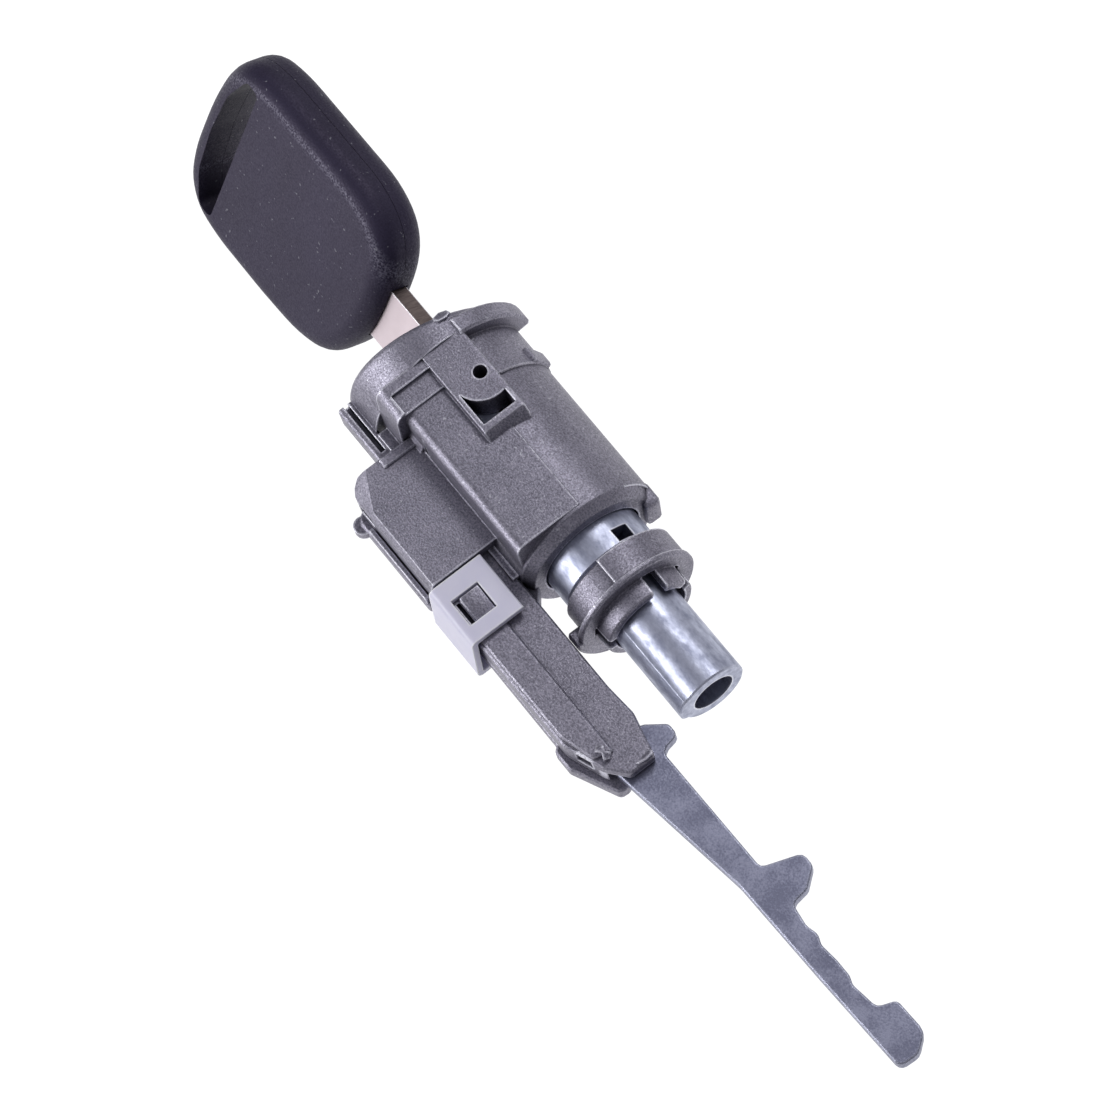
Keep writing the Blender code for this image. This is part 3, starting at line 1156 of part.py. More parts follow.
def make_blade(parent):
    half = BLADE_THICK / 2
    return place("key_blade", in_key_frame(prism(blade_outline(), -half, half)), NICKEL, parent)


def head_outline():
    return rounded([
        (HEAD_FRONT + 1.0 * MM, -4.2 * MM, 4.0 * MM),
        (HEAD_FRONT - 4.2 * MM, -HEAD_HALF_WIDTH + 1.6 * MM, 6.0 * MM),
        (-34.0 * MM, -HEAD_HALF_WIDTH, 12.0 * MM),
        (HEAD_END + 4.2 * MM, -HEAD_HALF_WIDTH + 0.4 * MM, 5.0 * MM),
        (HEAD_END - 0.6 * MM, -6.0 * MM, 12.0 * MM),
        (HEAD_END - 0.6 * MM, 6.0 * MM, 12.0 * MM),
        (HEAD_END + 4.2 * MM, HEAD_HALF_WIDTH - 0.4 * MM, 5.0 * MM),
        (-34.0 * MM, HEAD_HALF_WIDTH, 12.0 * MM),
        (HEAD_FRONT - 4.2 * MM, HEAD_HALF_WIDTH - 1.6 * MM, 6.0 * MM),
        (HEAD_FRONT + 1.0 * MM, 4.2 * MM, 4.0 * MM),
    ])


def ring_slot_outline():
    """D-shaped hole for the key ring: straight inside, curved like the head's end outside."""
    half = RING_SLOT_HALF_LENGTH
    return rounded([
        (RING_SLOT_INNER, -half, 0.8 * MM),
        (RING_SLOT_INNER, half, 1.0 * MM),
        (HEAD_END + RING_SLOT_RIM + 2.4 * MM, half + 0.2 * MM, 1.0 * MM),
        (HEAD_END + RING_SLOT_RIM, 5.0 * MM, 8.0 * MM),
        (HEAD_END + RING_SLOT_RIM, -5.0 * MM, 8.0 * MM),
        (HEAD_END + RING_SLOT_RIM + 2.4 * MM, -half - 0.2 * MM, 1.0 * MM),
    ])


def make_head_half(name, parent, side):
    """One moulded half of the key head; side is +1 for the half that faces along +v."""
    low, high = HEAD_SEAM, HEAD_HALF_THICK
    mesh = crowned(head_outline(), low, high, HEAD_EDGE_ROUND, 4)
    mirror = Matrix.Diagonal((1, 1, side, 1))
    piece = place(name, in_key_frame(moved(mesh, mirror)), BLACK_PLASTIC, parent)
    slot = moved(prism(ring_slot_outline(), low - OVERRUN, high + OVERRUN), mirror)
    cut(piece, in_key_frame(slot), "ring_slot")
    half_u, half_v = keyway_half()
    pocket = block((BLADE_ROOT - GAP, BLADE_OFFSET - half_u, low - OVERRUN),
                   (HEAD_FRONT + 2 * OVERRUN, BLADE_OFFSET + half_u, half_v))
    cut(piece, in_key_frame(moved(pocket, mirror)), "blade_pocket")
    chip = block((BLADE_ROOT - 2 * GAP - 2 * CHIP_RADIUS - 1.0 * MM, -CHIP_LENGTH / 2 - GAP, low - OVERRUN),
                 (BLADE_ROOT, CHIP_LENGTH / 2 + GAP, CHIP_RADIUS + GAP))
    cut(piece, in_key_frame(moved(chip, mirror)), "chip_pocket")
    return piece


def make_chip(parent):
    """Glass transponder capsule behind the blade's root."""
    x = BLADE_ROOT - GAP - 0.4 * MM - CHIP_RADIUS
    mesh = soften(cylinder((x, 0.0), CHIP_RADIUS, -CHIP_LENGTH / 2, CHIP_LENGTH / 2, "Y", 12), 0.5 * MM, 1)
    return place("transponder_chip", in_key_frame(mesh), CHIP_GLASS, parent)


def build():
    clear_scene()
    make_housing()
    make_cover()
    make_clip()
    make_lever_pin()
    make_lever_spring()
    make_lever(joint_axis("lever_swing_axis", (PIVOT_X, PIVOT_Y, LEVER_Z)))

    plug_axis = joint_axis("plug_turn_axis", (0.0, 0.0, 0.0))
    make_plug(plug_axis)
    make_face_cap(plug_axis)
    make_shutter(plug_axis)
    make_wafers(plug_axis)
    make_sidebar(plug_axis)
    make_tail(plug_axis)
    make_collar(plug_axis)

    key_axis = joint_axis("key_slide_axis", (HEAD_FRONT, 0.0, 0.0))
    key_axis.parent = plug_axis
    bpy.context.view_layer.update()
    make_blade(key_axis)
    make_head_half("key_head_front", key_axis, 1)
    make_head_half("key_head_back", key_axis, -1)
    make_chip(key_axis)


build()
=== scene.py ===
"""Ignition lock cylinder with its key and steering-lock lever: finishes, cast details, light and camera."""

import math

import bmesh
import bpy
from mathutils import Matrix, Vector


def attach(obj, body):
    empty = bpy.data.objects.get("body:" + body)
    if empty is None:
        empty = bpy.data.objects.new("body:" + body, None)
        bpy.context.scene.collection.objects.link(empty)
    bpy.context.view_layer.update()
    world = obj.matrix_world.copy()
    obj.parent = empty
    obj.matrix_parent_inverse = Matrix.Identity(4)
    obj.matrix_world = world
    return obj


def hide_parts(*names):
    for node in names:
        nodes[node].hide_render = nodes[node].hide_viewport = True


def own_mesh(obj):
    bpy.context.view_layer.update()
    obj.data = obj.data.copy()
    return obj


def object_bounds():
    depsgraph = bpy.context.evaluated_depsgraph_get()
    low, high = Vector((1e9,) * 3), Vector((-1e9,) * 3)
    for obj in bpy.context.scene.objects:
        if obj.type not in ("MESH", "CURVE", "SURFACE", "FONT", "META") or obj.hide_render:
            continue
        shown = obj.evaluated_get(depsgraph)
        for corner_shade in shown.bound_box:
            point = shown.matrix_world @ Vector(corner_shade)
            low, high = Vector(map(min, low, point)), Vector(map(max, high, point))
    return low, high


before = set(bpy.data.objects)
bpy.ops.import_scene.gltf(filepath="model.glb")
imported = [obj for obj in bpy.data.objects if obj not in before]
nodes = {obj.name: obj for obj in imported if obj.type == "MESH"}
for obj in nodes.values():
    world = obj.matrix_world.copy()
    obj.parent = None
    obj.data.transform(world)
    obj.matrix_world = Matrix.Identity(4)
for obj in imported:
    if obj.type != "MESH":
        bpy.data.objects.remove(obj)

cad_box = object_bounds()
slots = {name: node.material_slots[0].material.name.split(".")[0] for name, node in nodes.items()}
finishes = {}
MM = 0.001

# The camera, solved from the photograph: its axes in the object's frame, and its place.
CAMERA_RIGHT = (0.5969, 0.79098, -0.13436)
CAMERA_UP = (-0.71385, 0.60003, 0.36107)
CAMERA_BACK = (0.36622, -0.11961, 0.92281)
CAMERA_PLACE = (0.34906, -0.10874, 0.80168)
CAMERA_NEAR = 0.01
# The lens and the sensor are in millimetres.
CAMERA_LENS = 194.6
SENSOR_WIDTH = 36

# The key's own frame: along the lock, across the blade, and out of the blade's broad face.
KEY_TURN = math.radians(58)
KEY_ACROSS = (0, math.cos(KEY_TURN), math.sin(KEY_TURN))
KEY_OUT = (0, -math.sin(KEY_TURN), math.cos(KEY_TURN))

FLOOR_GAP = 0.3 * MM
FLOOR_SIZE = 3
FLOOR_GLOW = 1.25
SHADOW_SHARE = 0.22

# The sky's strength from the floor's level to overhead.
SKY_AT_FLOOR = 0.22
SKY_ABOVE = 0.36

# The lamps look at a place on the barrel's axis. Each has its name, the side that it shines from, its
# distance and its size in metres, and its power in watts. In the photograph's view the key lamp stands
# on the left, the top lamp above and in front, and the weak one on the upper right.
LAMP_TARGET = Vector((0.02, 0, 0))
LAMPS = (
    ("key_lamp", (-0.37, -0.88, 0.32), 0.8, 0.35, 3.6),
    ("top_lamp", (-0.3, 0.46, 0.84), 0.9, 0.3, 2.3),
    ("right_lamp", (-0.2, 0.95, 0.25), 0.9, 0.6, 0.45),
)


def linear(colour):
    """An sRGB hex colour as linear RGBA."""
    parts = [int(colour[i:i + 2], 16) / 255 for i in (1, 3, 5)]
    return [p / 12.92 if p <= 0.04045 else ((p + 0.055) / 1.055) ** 2.4 for p in parts] + [1]


def finish(name):
    """A new material with its Principled shader."""
    material = bpy.data.materials.new(name)
    material.use_nodes = True
    return material, material.node_tree.nodes["Principled BSDF"]


def add(tree, kind, sockets=None, **settings):
    """Adds a node; sockets maps an input to a value or to another node's output."""
    node = tree.nodes.new(kind)
    for name, value in settings.items():
        setattr(node, name, value)
    for key, value in (sockets or {}).items():
        if isinstance(value, bpy.types.NodeSocket):
            tree.links.new(value, node.inputs[key])
        else:
            node.inputs[key].default_value = value
    return node


def edges_and_corners(tree, edge_width, corner_depth):
    """How far a point lies on an outer edge, and in an inner corner (the mask for painted shade), each from 0
    to 1.
    """
    # Occlusion inside the solid finds its outer edges, and occlusion outside it finds its inner corners.
    out = add(tree, "ShaderNodeAmbientOcclusion", {"Distance": edge_width},
              inside=True, only_local=True, samples=8)
    edge = add(tree, "ShaderNodeMapRange", {0: out.outputs["AO"], 1: 0.9, 2: 0.64})
    near = add(tree, "ShaderNodeAmbientOcclusion", {"Distance": corner_depth}, only_local=True, samples=8)
    corner_shade = add(tree, "ShaderNodeMapRange", {0: near.outputs["AO"], 1: 0.8, 2: 0.22})
    return edge.outputs[0], corner_shade.outputs[0]


def die_cast_zinc():
    """Zinc die casting, shot-blasted: a dull grey skin with fine pits and painted glints, cloudy where the
    melt flowed, lighter on outer edges, partly from real rubbing and partly a painted highlight, with
    painted shade in inner corners."""
    material, shader = finish("shot_blasted_die_cast_zinc")
    tree = material.node_tree
    place = add(tree, "ShaderNodeTexCoord").outputs["Object"]
    # Blasting leaves pits of about 0.1 mm, drawn three times as coarse so that they show.
    grain = add(tree, "ShaderNodeTexNoise", {"Vector": place, "Scale": 1 / (0.28 * MM), "Detail": 3,
                                             "Roughness": 0.65})
    cloud = add(tree, "ShaderNodeTexNoise", {"Vector": place, "Scale": 1 / (7 * MM), "Detail": 4,
                                             "Roughness": 0.6})
    speck = add(tree, "ShaderNodeTexNoise", {"Vector": place, "Scale": 1 / (0.5 * MM), "Detail": 1})
    # Painted glints: pale specks where the grain would catch the light.
    glint = add(tree, "ShaderNodeMapRange", {0: speck.outputs[0], 1: 0.66, 2: 0.8, 3: 0, 4: 0.6})
    edge, corner_shade = edges_and_corners(tree, 0.5 * MM, 2 * MM)
    tone = add(tree, "ShaderNodeMath", {0: cloud.outputs[0], 1: 0.3, 2: grain.outputs[0]},
               operation="MULTIPLY_ADD")
    tone = add(tree, "ShaderNodeMapRange", {0: tone.outputs[0], 1: 0.48, 2: 0.82})
    colour = add(tree, "ShaderNodeMix", {0: tone.outputs[0], 6: linear("#6A6874"), 7: linear("#9B98A6")},
                 data_type="RGBA")
    colour = add(tree, "ShaderNodeMix", {0: glint.outputs[0], 6: colour.outputs[2], 7: linear("#C9C9D2")},
                 data_type="RGBA")
    # Painted shade darkens the inner corners.
    colour = add(tree, "ShaderNodeMix", {0: corner_shade, 6: colour.outputs[2], 7: linear("#4A4952")},
                 data_type="RGBA")
    # Outer edges lighter: partly real rubbing, partly a painted highlight.
    grain_sheen = add(tree, "ShaderNodeMath", {0: edge, 1: grain.outputs[0]}, operation="MULTIPLY")
    grain_sheen = add(tree, "ShaderNodeMapRange", {0: grain_sheen.outputs[0], 1: 0.15, 2: 0.5})
    colour = add(tree, "ShaderNodeMix", {0: grain_sheen.outputs[0], 6: colour.outputs[2], 7: linear("#DCDBE6")},
                 data_type="RGBA")
    rough = add(tree, "ShaderNodeMapRange", {0: grain.outputs[0], 1: 0.3, 2: 0.7, 3: 0.56, 4: 0.4})
    round_edge = add(tree, "ShaderNodeBevel", {"Radius": 0.34 * MM}, samples=6)
    pits = add(tree, "ShaderNodeBump", {"Strength": 0.8, "Distance": 0.07 * MM, "Height": grain.outputs[0],
                                        "Normal": round_edge.outputs[0]})
    tree.links.new(colour.outputs[2], shader.inputs["Base Color"])
    tree.links.new(rough.outputs[0], shader.inputs["Roughness"])
    tree.links.new(pits.outputs[0], shader.inputs["Normal"])
    shader.inputs["Metallic"].default_value = 0.85
    return material


def bright_zinc():
    """Zinc casting turned and burnished: bright and soft, with cloudy smears drawn out along the axis."""
    material, shader = finish("burnished_zinc")
    tree = material.node_tree
    place = add(tree, "ShaderNodeTexCoord").outputs["Object"]
    along = add(tree, "ShaderNodeMapping", {"Vector": place, "Scale": (0.55, 1, 1)})
    smear = add(tree, "ShaderNodeTexNoise", {"Vector": along.outputs[0], "Scale": 1 / (1.5 * MM),
                                             "Detail": 5, "Roughness": 0.65})
    # The burnished grain is finer than 0.1 mm, drawn as 0.25 mm so that it shows.
    grain = add(tree, "ShaderNodeTexNoise", {"Vector": place, "Scale": 1 / (0.25 * MM), "Detail": 2})
    edge, corner_shade = edges_and_corners(tree, 0.4 * MM, 2 * MM)
    tone = add(tree, "ShaderNodeMapRange", {0: smear.outputs[0], 1: 0.35, 2: 0.65})
    colour = add(tree, "ShaderNodeMix", {0: tone.outputs[0], 6: linear("#9296AA"), 7: linear("#BEC2D4")},
                 data_type="RGBA")
    # Painted shade darkens the inner corners.
    colour = add(tree, "ShaderNodeMix", {0: corner_shade, 6: colour.outputs[2], 7: linear("#686C82")},
                 data_type="RGBA")
    # Outer edges lighter: partly real rubbing, partly a painted highlight.
    colour = add(tree, "ShaderNodeMix", {0: edge, 6: colour.outputs[2], 7: linear("#E4E6F0")},
                 data_type="RGBA")
    rough = add(tree, "ShaderNodeMapRange", {0: smear.outputs[0], 1: 0.3, 2: 0.7, 3: 0.52, 4: 0.4})
    round_edge = add(tree, "ShaderNodeBevel", {"Radius": 0.18 * MM}, samples=6)
    dents = add(tree, "ShaderNodeBump", {"Strength": 0.13, "Distance": 0.1 * MM, "Height": smear.outputs[0],
                                         "Normal": round_edge.outputs[0]})
    pits = add(tree, "ShaderNodeBump", {"Strength": 0.45, "Distance": 0.03 * MM, "Height": grain.outputs[0],
                                        "Normal": dents.outputs[0]})
    tree.links.new(colour.outputs[2], shader.inputs["Base Color"])
    tree.links.new(rough.outputs[0], shader.inputs["Roughness"])
    tree.links.new(pits.outputs[0], shader.inputs["Normal"])
    shader.inputs["Metallic"].default_value = 1
    return material


def plated_steel():
    """Stamped steel, zinc-plated: satin grey-blue with a fine tooth, lighter along its sheared edges, partly
    from real wear and partly a painted highlight, with painted shade in inner corners.
    """
    material, shader = finish("zinc_plated_steel")
    tree = material.node_tree
    place = add(tree, "ShaderNodeTexCoord").outputs["Object"]
    # The plating's tooth is finer than 0.1 mm, drawn as 0.3 mm so that it shows.
    tooth = add(tree, "ShaderNodeTexNoise", {"Vector": place, "Scale": 1 / (0.3 * MM), "Detail": 3,
                                             "Roughness": 0.6})
    cloud = add(tree, "ShaderNodeTexNoise", {"Vector": place, "Scale": 1 / (5 * MM), "Detail": 3})
    edge, corner_shade = edges_and_corners(tree, 0.4 * MM, 1.5 * MM)
    tone = add(tree, "ShaderNodeMath", {0: cloud.outputs[0], 1: tooth.outputs[0]}, operation="ADD")
    tone = add(tree, "ShaderNodeMapRange", {0: tone.outputs[0], 1: 0.84, 2: 1.16})
    colour = add(tree, "ShaderNodeMix", {0: tone.outputs[0], 6: linear("#74768A"), 7: linear("#9294A8")},
                 data_type="RGBA")
    # Painted shade darkens the inner corners.
    colour = add(tree, "ShaderNodeMix", {0: corner_shade, 6: colour.outputs[2], 7: linear("#50525F")},
                 data_type="RGBA")
    # Outer edges lighter: partly real wear, partly a painted highlight.
    colour = add(tree, "ShaderNodeMix", {0: edge, 6: colour.outputs[2], 7: linear("#D5D7E4")},
                 data_type="RGBA")
    rough = add(tree, "ShaderNodeMapRange", {0: tooth.outputs[0], 1: 0.3, 2: 0.7, 3: 0.5, 4: 0.34})
    round_edge = add(tree, "ShaderNodeBevel", {"Radius": 0.25 * MM}, samples=6)
    bump = add(tree, "ShaderNodeBump", {"Strength": 0.5, "Distance": 0.03 * MM, "Height": tooth.outputs[0],
                                        "Normal": round_edge.outputs[0]})
    tree.links.new(colour.outputs[2], shader.inputs["Base Color"])
    tree.links.new(rough.outputs[0], shader.inputs["Roughness"])
    tree.links.new(bump.outputs[0], shader.inputs["Normal"])
    shader.inputs["Metallic"].default_value = 1
    return material


def nickel():
    """Nickel-plated key blank: smooth and pinkish grey on its broad faces. Its narrow faces are milled:
    browner and darker, with fine ridges across them."""
    material, shader = finish("nickel_plate_with_milled_edges")
    tree = material.node_tree
    coordinates = add(tree, "ShaderNodeTexCoord")
    place = coordinates.outputs["Object"]
    cloud = add(tree, "ShaderNodeTexNoise", {"Vector": place, "Scale": 1 / (4 * MM), "Detail": 3})
    # The cutter's ridges are about 0.1 mm apart, drawn as 0.25 mm so that they show.
    across = add(tree, "ShaderNodeMapping", {"Vector": place, "Scale": (1, 0.12, 0.12)})
    ridges = add(tree, "ShaderNodeTexNoise", {"Vector": across.outputs[0], "Scale": 1 / (0.25 * MM),
                                              "Detail": 3})
    side = add(tree, "ShaderNodeVectorMath", {0: coordinates.outputs["Normal"], 1: KEY_ACROSS},
               operation="DOT_PRODUCT")
    side = add(tree, "ShaderNodeMath", {0: side.outputs["Value"]}, operation="ABSOLUTE")
    milled = add(tree, "ShaderNodeMapRange", {0: side.outputs[0], 1: 0.6, 2: 0.8})
    edge, corner_shade = edges_and_corners(tree, 0.2 * MM, 1.2 * MM)
    plate = add(tree, "ShaderNodeMix", {0: cloud.outputs[0], 6: linear("#B9ACB1"), 7: linear("#CDC1C6")},
                data_type="RGBA")
    cut = add(tree, "ShaderNodeMix", {0: ridges.outputs[0], 6: linear("#4A4040"), 7: linear("#92847F")},
              data_type="RGBA")
    colour = add(tree, "ShaderNodeMix", {0: milled.outputs[0], 6: plate.outputs[2], 7: cut.outputs[2]},
                 data_type="RGBA")
    # Painted shade darkens the inner corners.
    colour = add(tree, "ShaderNodeMix", {0: corner_shade, 6: colour.outputs[2], 7: linear("#6E6668")},
                 data_type="RGBA")
    # Outer edges lighter: partly real wear, partly a painted highlight.
    colour = add(tree, "ShaderNodeMix", {0: edge, 6: colour.outputs[2], 7: linear("#F3F0F4")},
                 data_type="RGBA")
    round_edge = add(tree, "ShaderNodeBevel", {"Radius": 0.12 * MM}, samples=6)
    depth = add(tree, "ShaderNodeMath", {0: milled.outputs[0], 1: 0.6}, operation="MULTIPLY")
    bump = add(tree, "ShaderNodeBump", {"Strength": depth.outputs[0], "Distance": 0.05 * MM,
                                        "Height": ridges.outputs[0], "Normal": round_edge.outputs[0]})
    tree.links.new(colour.outputs[2], shader.inputs["Base Color"])
    tree.links.new(bump.outputs[0], shader.inputs["Normal"])
    shader.inputs["Roughness"].default_value = 0.42
    shader.inputs["Metallic"].default_value = 0.9
    return material


def moulded_nylon():
    """Natural nylon, moulded: milky white that lets some light in, with soft flow clouds."""
    material, shader = finish("moulded_natural_nylon")
    tree = material.node_tree
    place = add(tree, "ShaderNodeTexCoord").outputs["Object"]
    cloud = add(tree, "ShaderNodeTexNoise", {"Vector": place, "Scale": 1 / (3.5 * MM), "Detail": 3})
    # The mould's texture is finer than 0.1 mm, drawn as 0.5 mm so that it shows.
    skin = add(tree, "ShaderNodeTexNoise", {"Vector": place, "Scale": 1 / (0.5 * MM), "Detail": 2})
    edge, corner_shade = edges_and_corners(tree, 0.35 * MM, 2 * MM)
    colour = add(tree, "ShaderNodeMix", {0: cloud.outputs[0], 6: linear("#CFCDE2"), 7: linear("#DDDBEA")},
                 data_type="RGBA")
    # Painted shade darkens the inner corners.
    colour = add(tree, "ShaderNodeMix", {0: corner_shade, 6: colour.outputs[2], 7: linear("#A9A7BC")},
                 data_type="RGBA")
    # Outer edges lighter: partly real wear, partly a painted highlight.
    colour = add(tree, "ShaderNodeMix", {0: edge, 6: colour.outputs[2], 7: linear("#F6F6FC")},
                 data_type="RGBA")
    round_edge = add(tree, "ShaderNodeBevel", {"Radius": 0.25 * MM}, samples=6)
    bump = add(tree, "ShaderNodeBump", {"Strength": 0.2, "Distance": 0.03 * MM, "Height": skin.outputs[0],
                                        "Normal": round_edge.outputs[0]})
    tree.links.new(colour.outputs[2], shader.inputs["Base Color"])
    tree.links.new(bump.outputs[0], shader.inputs["Normal"])
    shader.inputs["Roughness"].default_value = 0.42
    shader.inputs["IOR"].default_value = 1.53
    shader.inputs["Subsurface Weight"].default_value = 0.25
    shader.inputs["Subsurface Radius"].default_value = (0.9 * MM, 0.9 * MM, MM)
    shader.inputs["Subsurface Scale"].default_value = 1
    return material


def key_plastic():
    """Black polyamide in a spark-eroded mould: a fine even grain with painted points of light, a painted
    grey highlight along the ridge where one side of the face begins to round off, and painted shade in
    corners."""
    material, shader = finish("grained_black_polyamide")
    tree = material.node_tree
    coordinates = add(tree, "ShaderNodeTexCoord")
    place = coordinates.outputs["Object"]
    # The mould's grain is about 0.1 mm, drawn three times as coarse so that it shows.
    grain = add(tree, "ShaderNodeTexNoise", {"Vector": place, "Scale": 1 / (0.3 * MM), "Detail": 2,
                                             "Roughness": 0.55})
    cloud = add(tree, "ShaderNodeTexNoise", {"Vector": place, "Scale": 1 / (12 * MM), "Detail": 3})
    speck = add(tree, "ShaderNodeTexNoise", {"Vector": place, "Scale": 1 / (0.7 * MM), "Detail": 1})
    # Painted glints: pale points where the grain would catch the light.
    light_points = add(tree, "ShaderNodeMapRange", {0: speck.outputs[0], 1: 0.71, 2: 0.78, 3: 0, 4: 0.6})
    corner_shade = edges_and_corners(tree, 0.5 * MM, 6 * MM)[1]
    tone = add(tree, "ShaderNodeMath", {0: cloud.outputs[0], 1: grain.outputs[0]}, operation="ADD")
    tone = add(tree, "ShaderNodeMapRange", {0: tone.outputs[0], 1: 0.7, 2: 1.3})
    colour = add(tree, "ShaderNodeMix", {0: tone.outputs[0], 6: linear("#1B172A"), 7: linear("#2A263A")},
                 data_type="RGBA")
    colour = add(tree, "ShaderNodeMix", {0: light_points.outputs[0], 6: colour.outputs[2], 7: linear("#85858C")},
                 data_type="RGBA")
    # The painted highlight band lies where the surface begins to lean over, across the key, towards the
    # light.
    lean = add(tree, "ShaderNodeVectorMath", {0: coordinates.outputs["Normal"], 1: KEY_ACROSS},
               operation="DOT_PRODUCT")
    rise = add(tree, "ShaderNodeMapRange", {0: lean.outputs["Value"], 1: 0.04, 2: 0.22})
    highlight_band = add(tree, "ShaderNodeMapRange", {0: lean.outputs["Value"], 1: 0.24, 2: 0.42, 3: 1, 4: 0})
    highlight_band = add(tree, "ShaderNodeMath", {0: rise.outputs[0], 1: highlight_band.outputs[0]}, operation="MULTIPLY")
    grain_sheen = add(tree, "ShaderNodeMapRange", {0: grain.outputs[0], 1: 0.42, 2: 0.66, 3: 0, 4: 0.5})
    ridge_highlight = add(tree, "ShaderNodeMath", {0: highlight_band.outputs[0], 1: grain_sheen.outputs[0]}, operation="MULTIPLY")
    colour = add(tree, "ShaderNodeMix", {0: ridge_highlight.outputs[0], 6: colour.outputs[2], 7: linear("#8F8D9C")},
                 data_type="RGBA")
    # Painted shade darkens the inner corners.
    colour = add(tree, "ShaderNodeMix", {0: corner_shade, 6: colour.outputs[2], 7: linear("#0B0B0F")},
                 data_type="RGBA")
    rough = add(tree, "ShaderNodeMapRange", {0: grain.outputs[0], 1: 0.3, 2: 0.7, 3: 0.66, 4: 0.46})
    bump = add(tree, "ShaderNodeBump", {"Strength": 0.8, "Distance": 0.06 * MM, "Height": grain.outputs[0]})
    tree.links.new(colour.outputs[2], shader.inputs["Base Color"])
    tree.links.new(rough.outputs[0], shader.inputs["Roughness"])
    tree.links.new(bump.outputs[0], shader.inputs["Normal"])
    shader.inputs["IOR"].default_value = 1.45
    shader.inputs["Specular Tint"].default_value = linear("#EDE2FF")
    return material


def drawn_metal(name, dark, light, roughness):
    """Wire or strip drawn through a die: a fine grain, cloudy where it was handled."""
    material, shader = finish(name)
    tree = material.node_tree
    place = add(tree, "ShaderNodeTexCoord").outputs["Object"]
    # The die's marks are finer than 0.1 mm, drawn as 0.3 mm so that they show.
    grain = add(tree, "ShaderNodeTexNoise", {"Vector": place, "Scale": 1 / (0.3 * MM), "Detail": 3})
    cloud = add(tree, "ShaderNodeTexNoise", {"Vector": place, "Scale": 1 / (3 * MM), "Detail": 3})
    colour = add(tree, "ShaderNodeMix", {0: cloud.outputs[0], 6: linear(dark), 7: linear(light)},
                 data_type="RGBA")
    rough = add(tree, "ShaderNodeMapRange", {0: grain.outputs[0], 3: roughness + 0.1, 4: roughness - 0.1})
    bump = add(tree, "ShaderNodeBump", {"Strength": 0.2, "Distance": 0.02 * MM, "Height": grain.outputs[0]})
    tree.links.new(colour.outputs[2], shader.inputs["Base Color"])
    tree.links.new(rough.outputs[0], shader.inputs["Roughness"])
    tree.links.new(bump.outputs[0], shader.inputs["Normal"])
    shader.inputs["Metallic"].default_value = 1
    return material


def smoked_glass():
    """The transponder's glass capsule: dark and glossy, faintly cloudy inside."""
    material, shader = finish("smoked_glass")
    tree = material.node_tree
    place = add(tree, "ShaderNodeTexCoord").outputs["Object"]
    cloud = add(tree, "ShaderNodeTexNoise", {"Vector": place, "Scale": 1 / (2 * MM), "Detail": 2})
    colour = add(tree, "ShaderNodeMix", {0: cloud.outputs[0], 6: linear("#1C1E22"), 7: linear("#34383E")},
                 data_type="RGBA")
    tree.links.new(colour.outputs[2], shader.inputs["Base Color"])
    shader.inputs["Roughness"].default_value = 0.08
    shader.inputs["IOR"].default_value = 1.5
    return material


CREASE = math.radians(32)
WELD = 0.001 * MM
SHOWN = {
    "housing": ("lock_housing", "lever_cover", "lever_clip"),
    "lever": ("lock_lever",),
    "cylinder": ("lock_plug", "plug_face_cap", "tail_shaft", "cam_collar"),
    "key": ("key_blade",),
}

# The raised strip along the barrel's right side: its ends along the axis, its rise, and the angles round
# the axis where it starts and over which it swells to that rise.
BARREL_RADIUS = 11.6 * MM
STRIP_FRONT = 7.5 * MM
STRIP_REAR = 32.25 * MM
STRIP_RISE = 0.25 * MM
STRIP_TOP = math.radians(45)
STRIP_FADE = math.radians(42)
# Points this near to the strip's surface belong to it, and points this near to each other merge.
STRIP_NEAR = 0.03 * MM
STRIP_WELD = 0.02 * MM


def fade_side_strip(shape):
    """Lets the raised strip along the barrel's right side swell out of it without a step."""
    for vert in shape.verts:
        radius = math.hypot(vert.co.y, vert.co.z)
        angle = math.atan2(vert.co.z, vert.co.y)
        on_strip = abs(radius - BARREL_RADIUS - STRIP_RISE) < STRIP_NEAR
        if on_strip and STRIP_FRONT < vert.co.x < STRIP_REAR:
            share = min(1, max(0, (STRIP_TOP - angle) / STRIP_FADE))
            wanted = BARREL_RADIUS + STRIP_RISE * share * share * (3 - 2 * share)
            vert.co.y *= wanted / radius
            vert.co.z *= wanted / radius
    bmesh.ops.remove_doubles(shape, verts=shape.verts, dist=STRIP_WELD)


# The foot of the clip's outer wall: everything left of this and below the axis moves out and down.
CLIP_WALL = -21.6 * MM
CLIP_FLARE = 0.7 * MM
CLIP_SAG = 1.1 * MM


def flare_clip(shape):
    """Draws the foot of the clip's outer wall down and out, as the hot moulding sagged off its tool."""
    for vert in shape.verts:
        if vert.co.y < CLIP_WALL and vert.co.z < 0:
            vert.co.y -= CLIP_FLARE
            vert.co.z -= CLIP_SAG


# The front wall of the cam groove, how far it moves, and how near to it its own points lie.
GROOVE_FRONT = 18.8 * MM
GROOVE_ROOM = 0.4 * MM
GROOVE_NEAR = 0.005 * MM


def widen_groove(shape):
    """Gives the lever's nose room in the plug's cam groove, where it swings forward at its travel's end."""
    for vert in shape.verts:
        if abs(vert.co.x - GROOVE_FRONT) < GROOVE_NEAR:
            vert.co.x -= GROOVE_ROOM


RESHAPED = {"lock_housing": fade_side_strip, "lever_clip": flare_clip, "lock_plug": widen_groove}


def shade(shape):
    """Smooth shading all over, with the edges above the crease angle left sharp."""
    for face in shape.faces:
        face.smooth = True
    for edge in shape.edges:
        edge.smooth = edge.calc_face_angle(math.pi) < CREASE


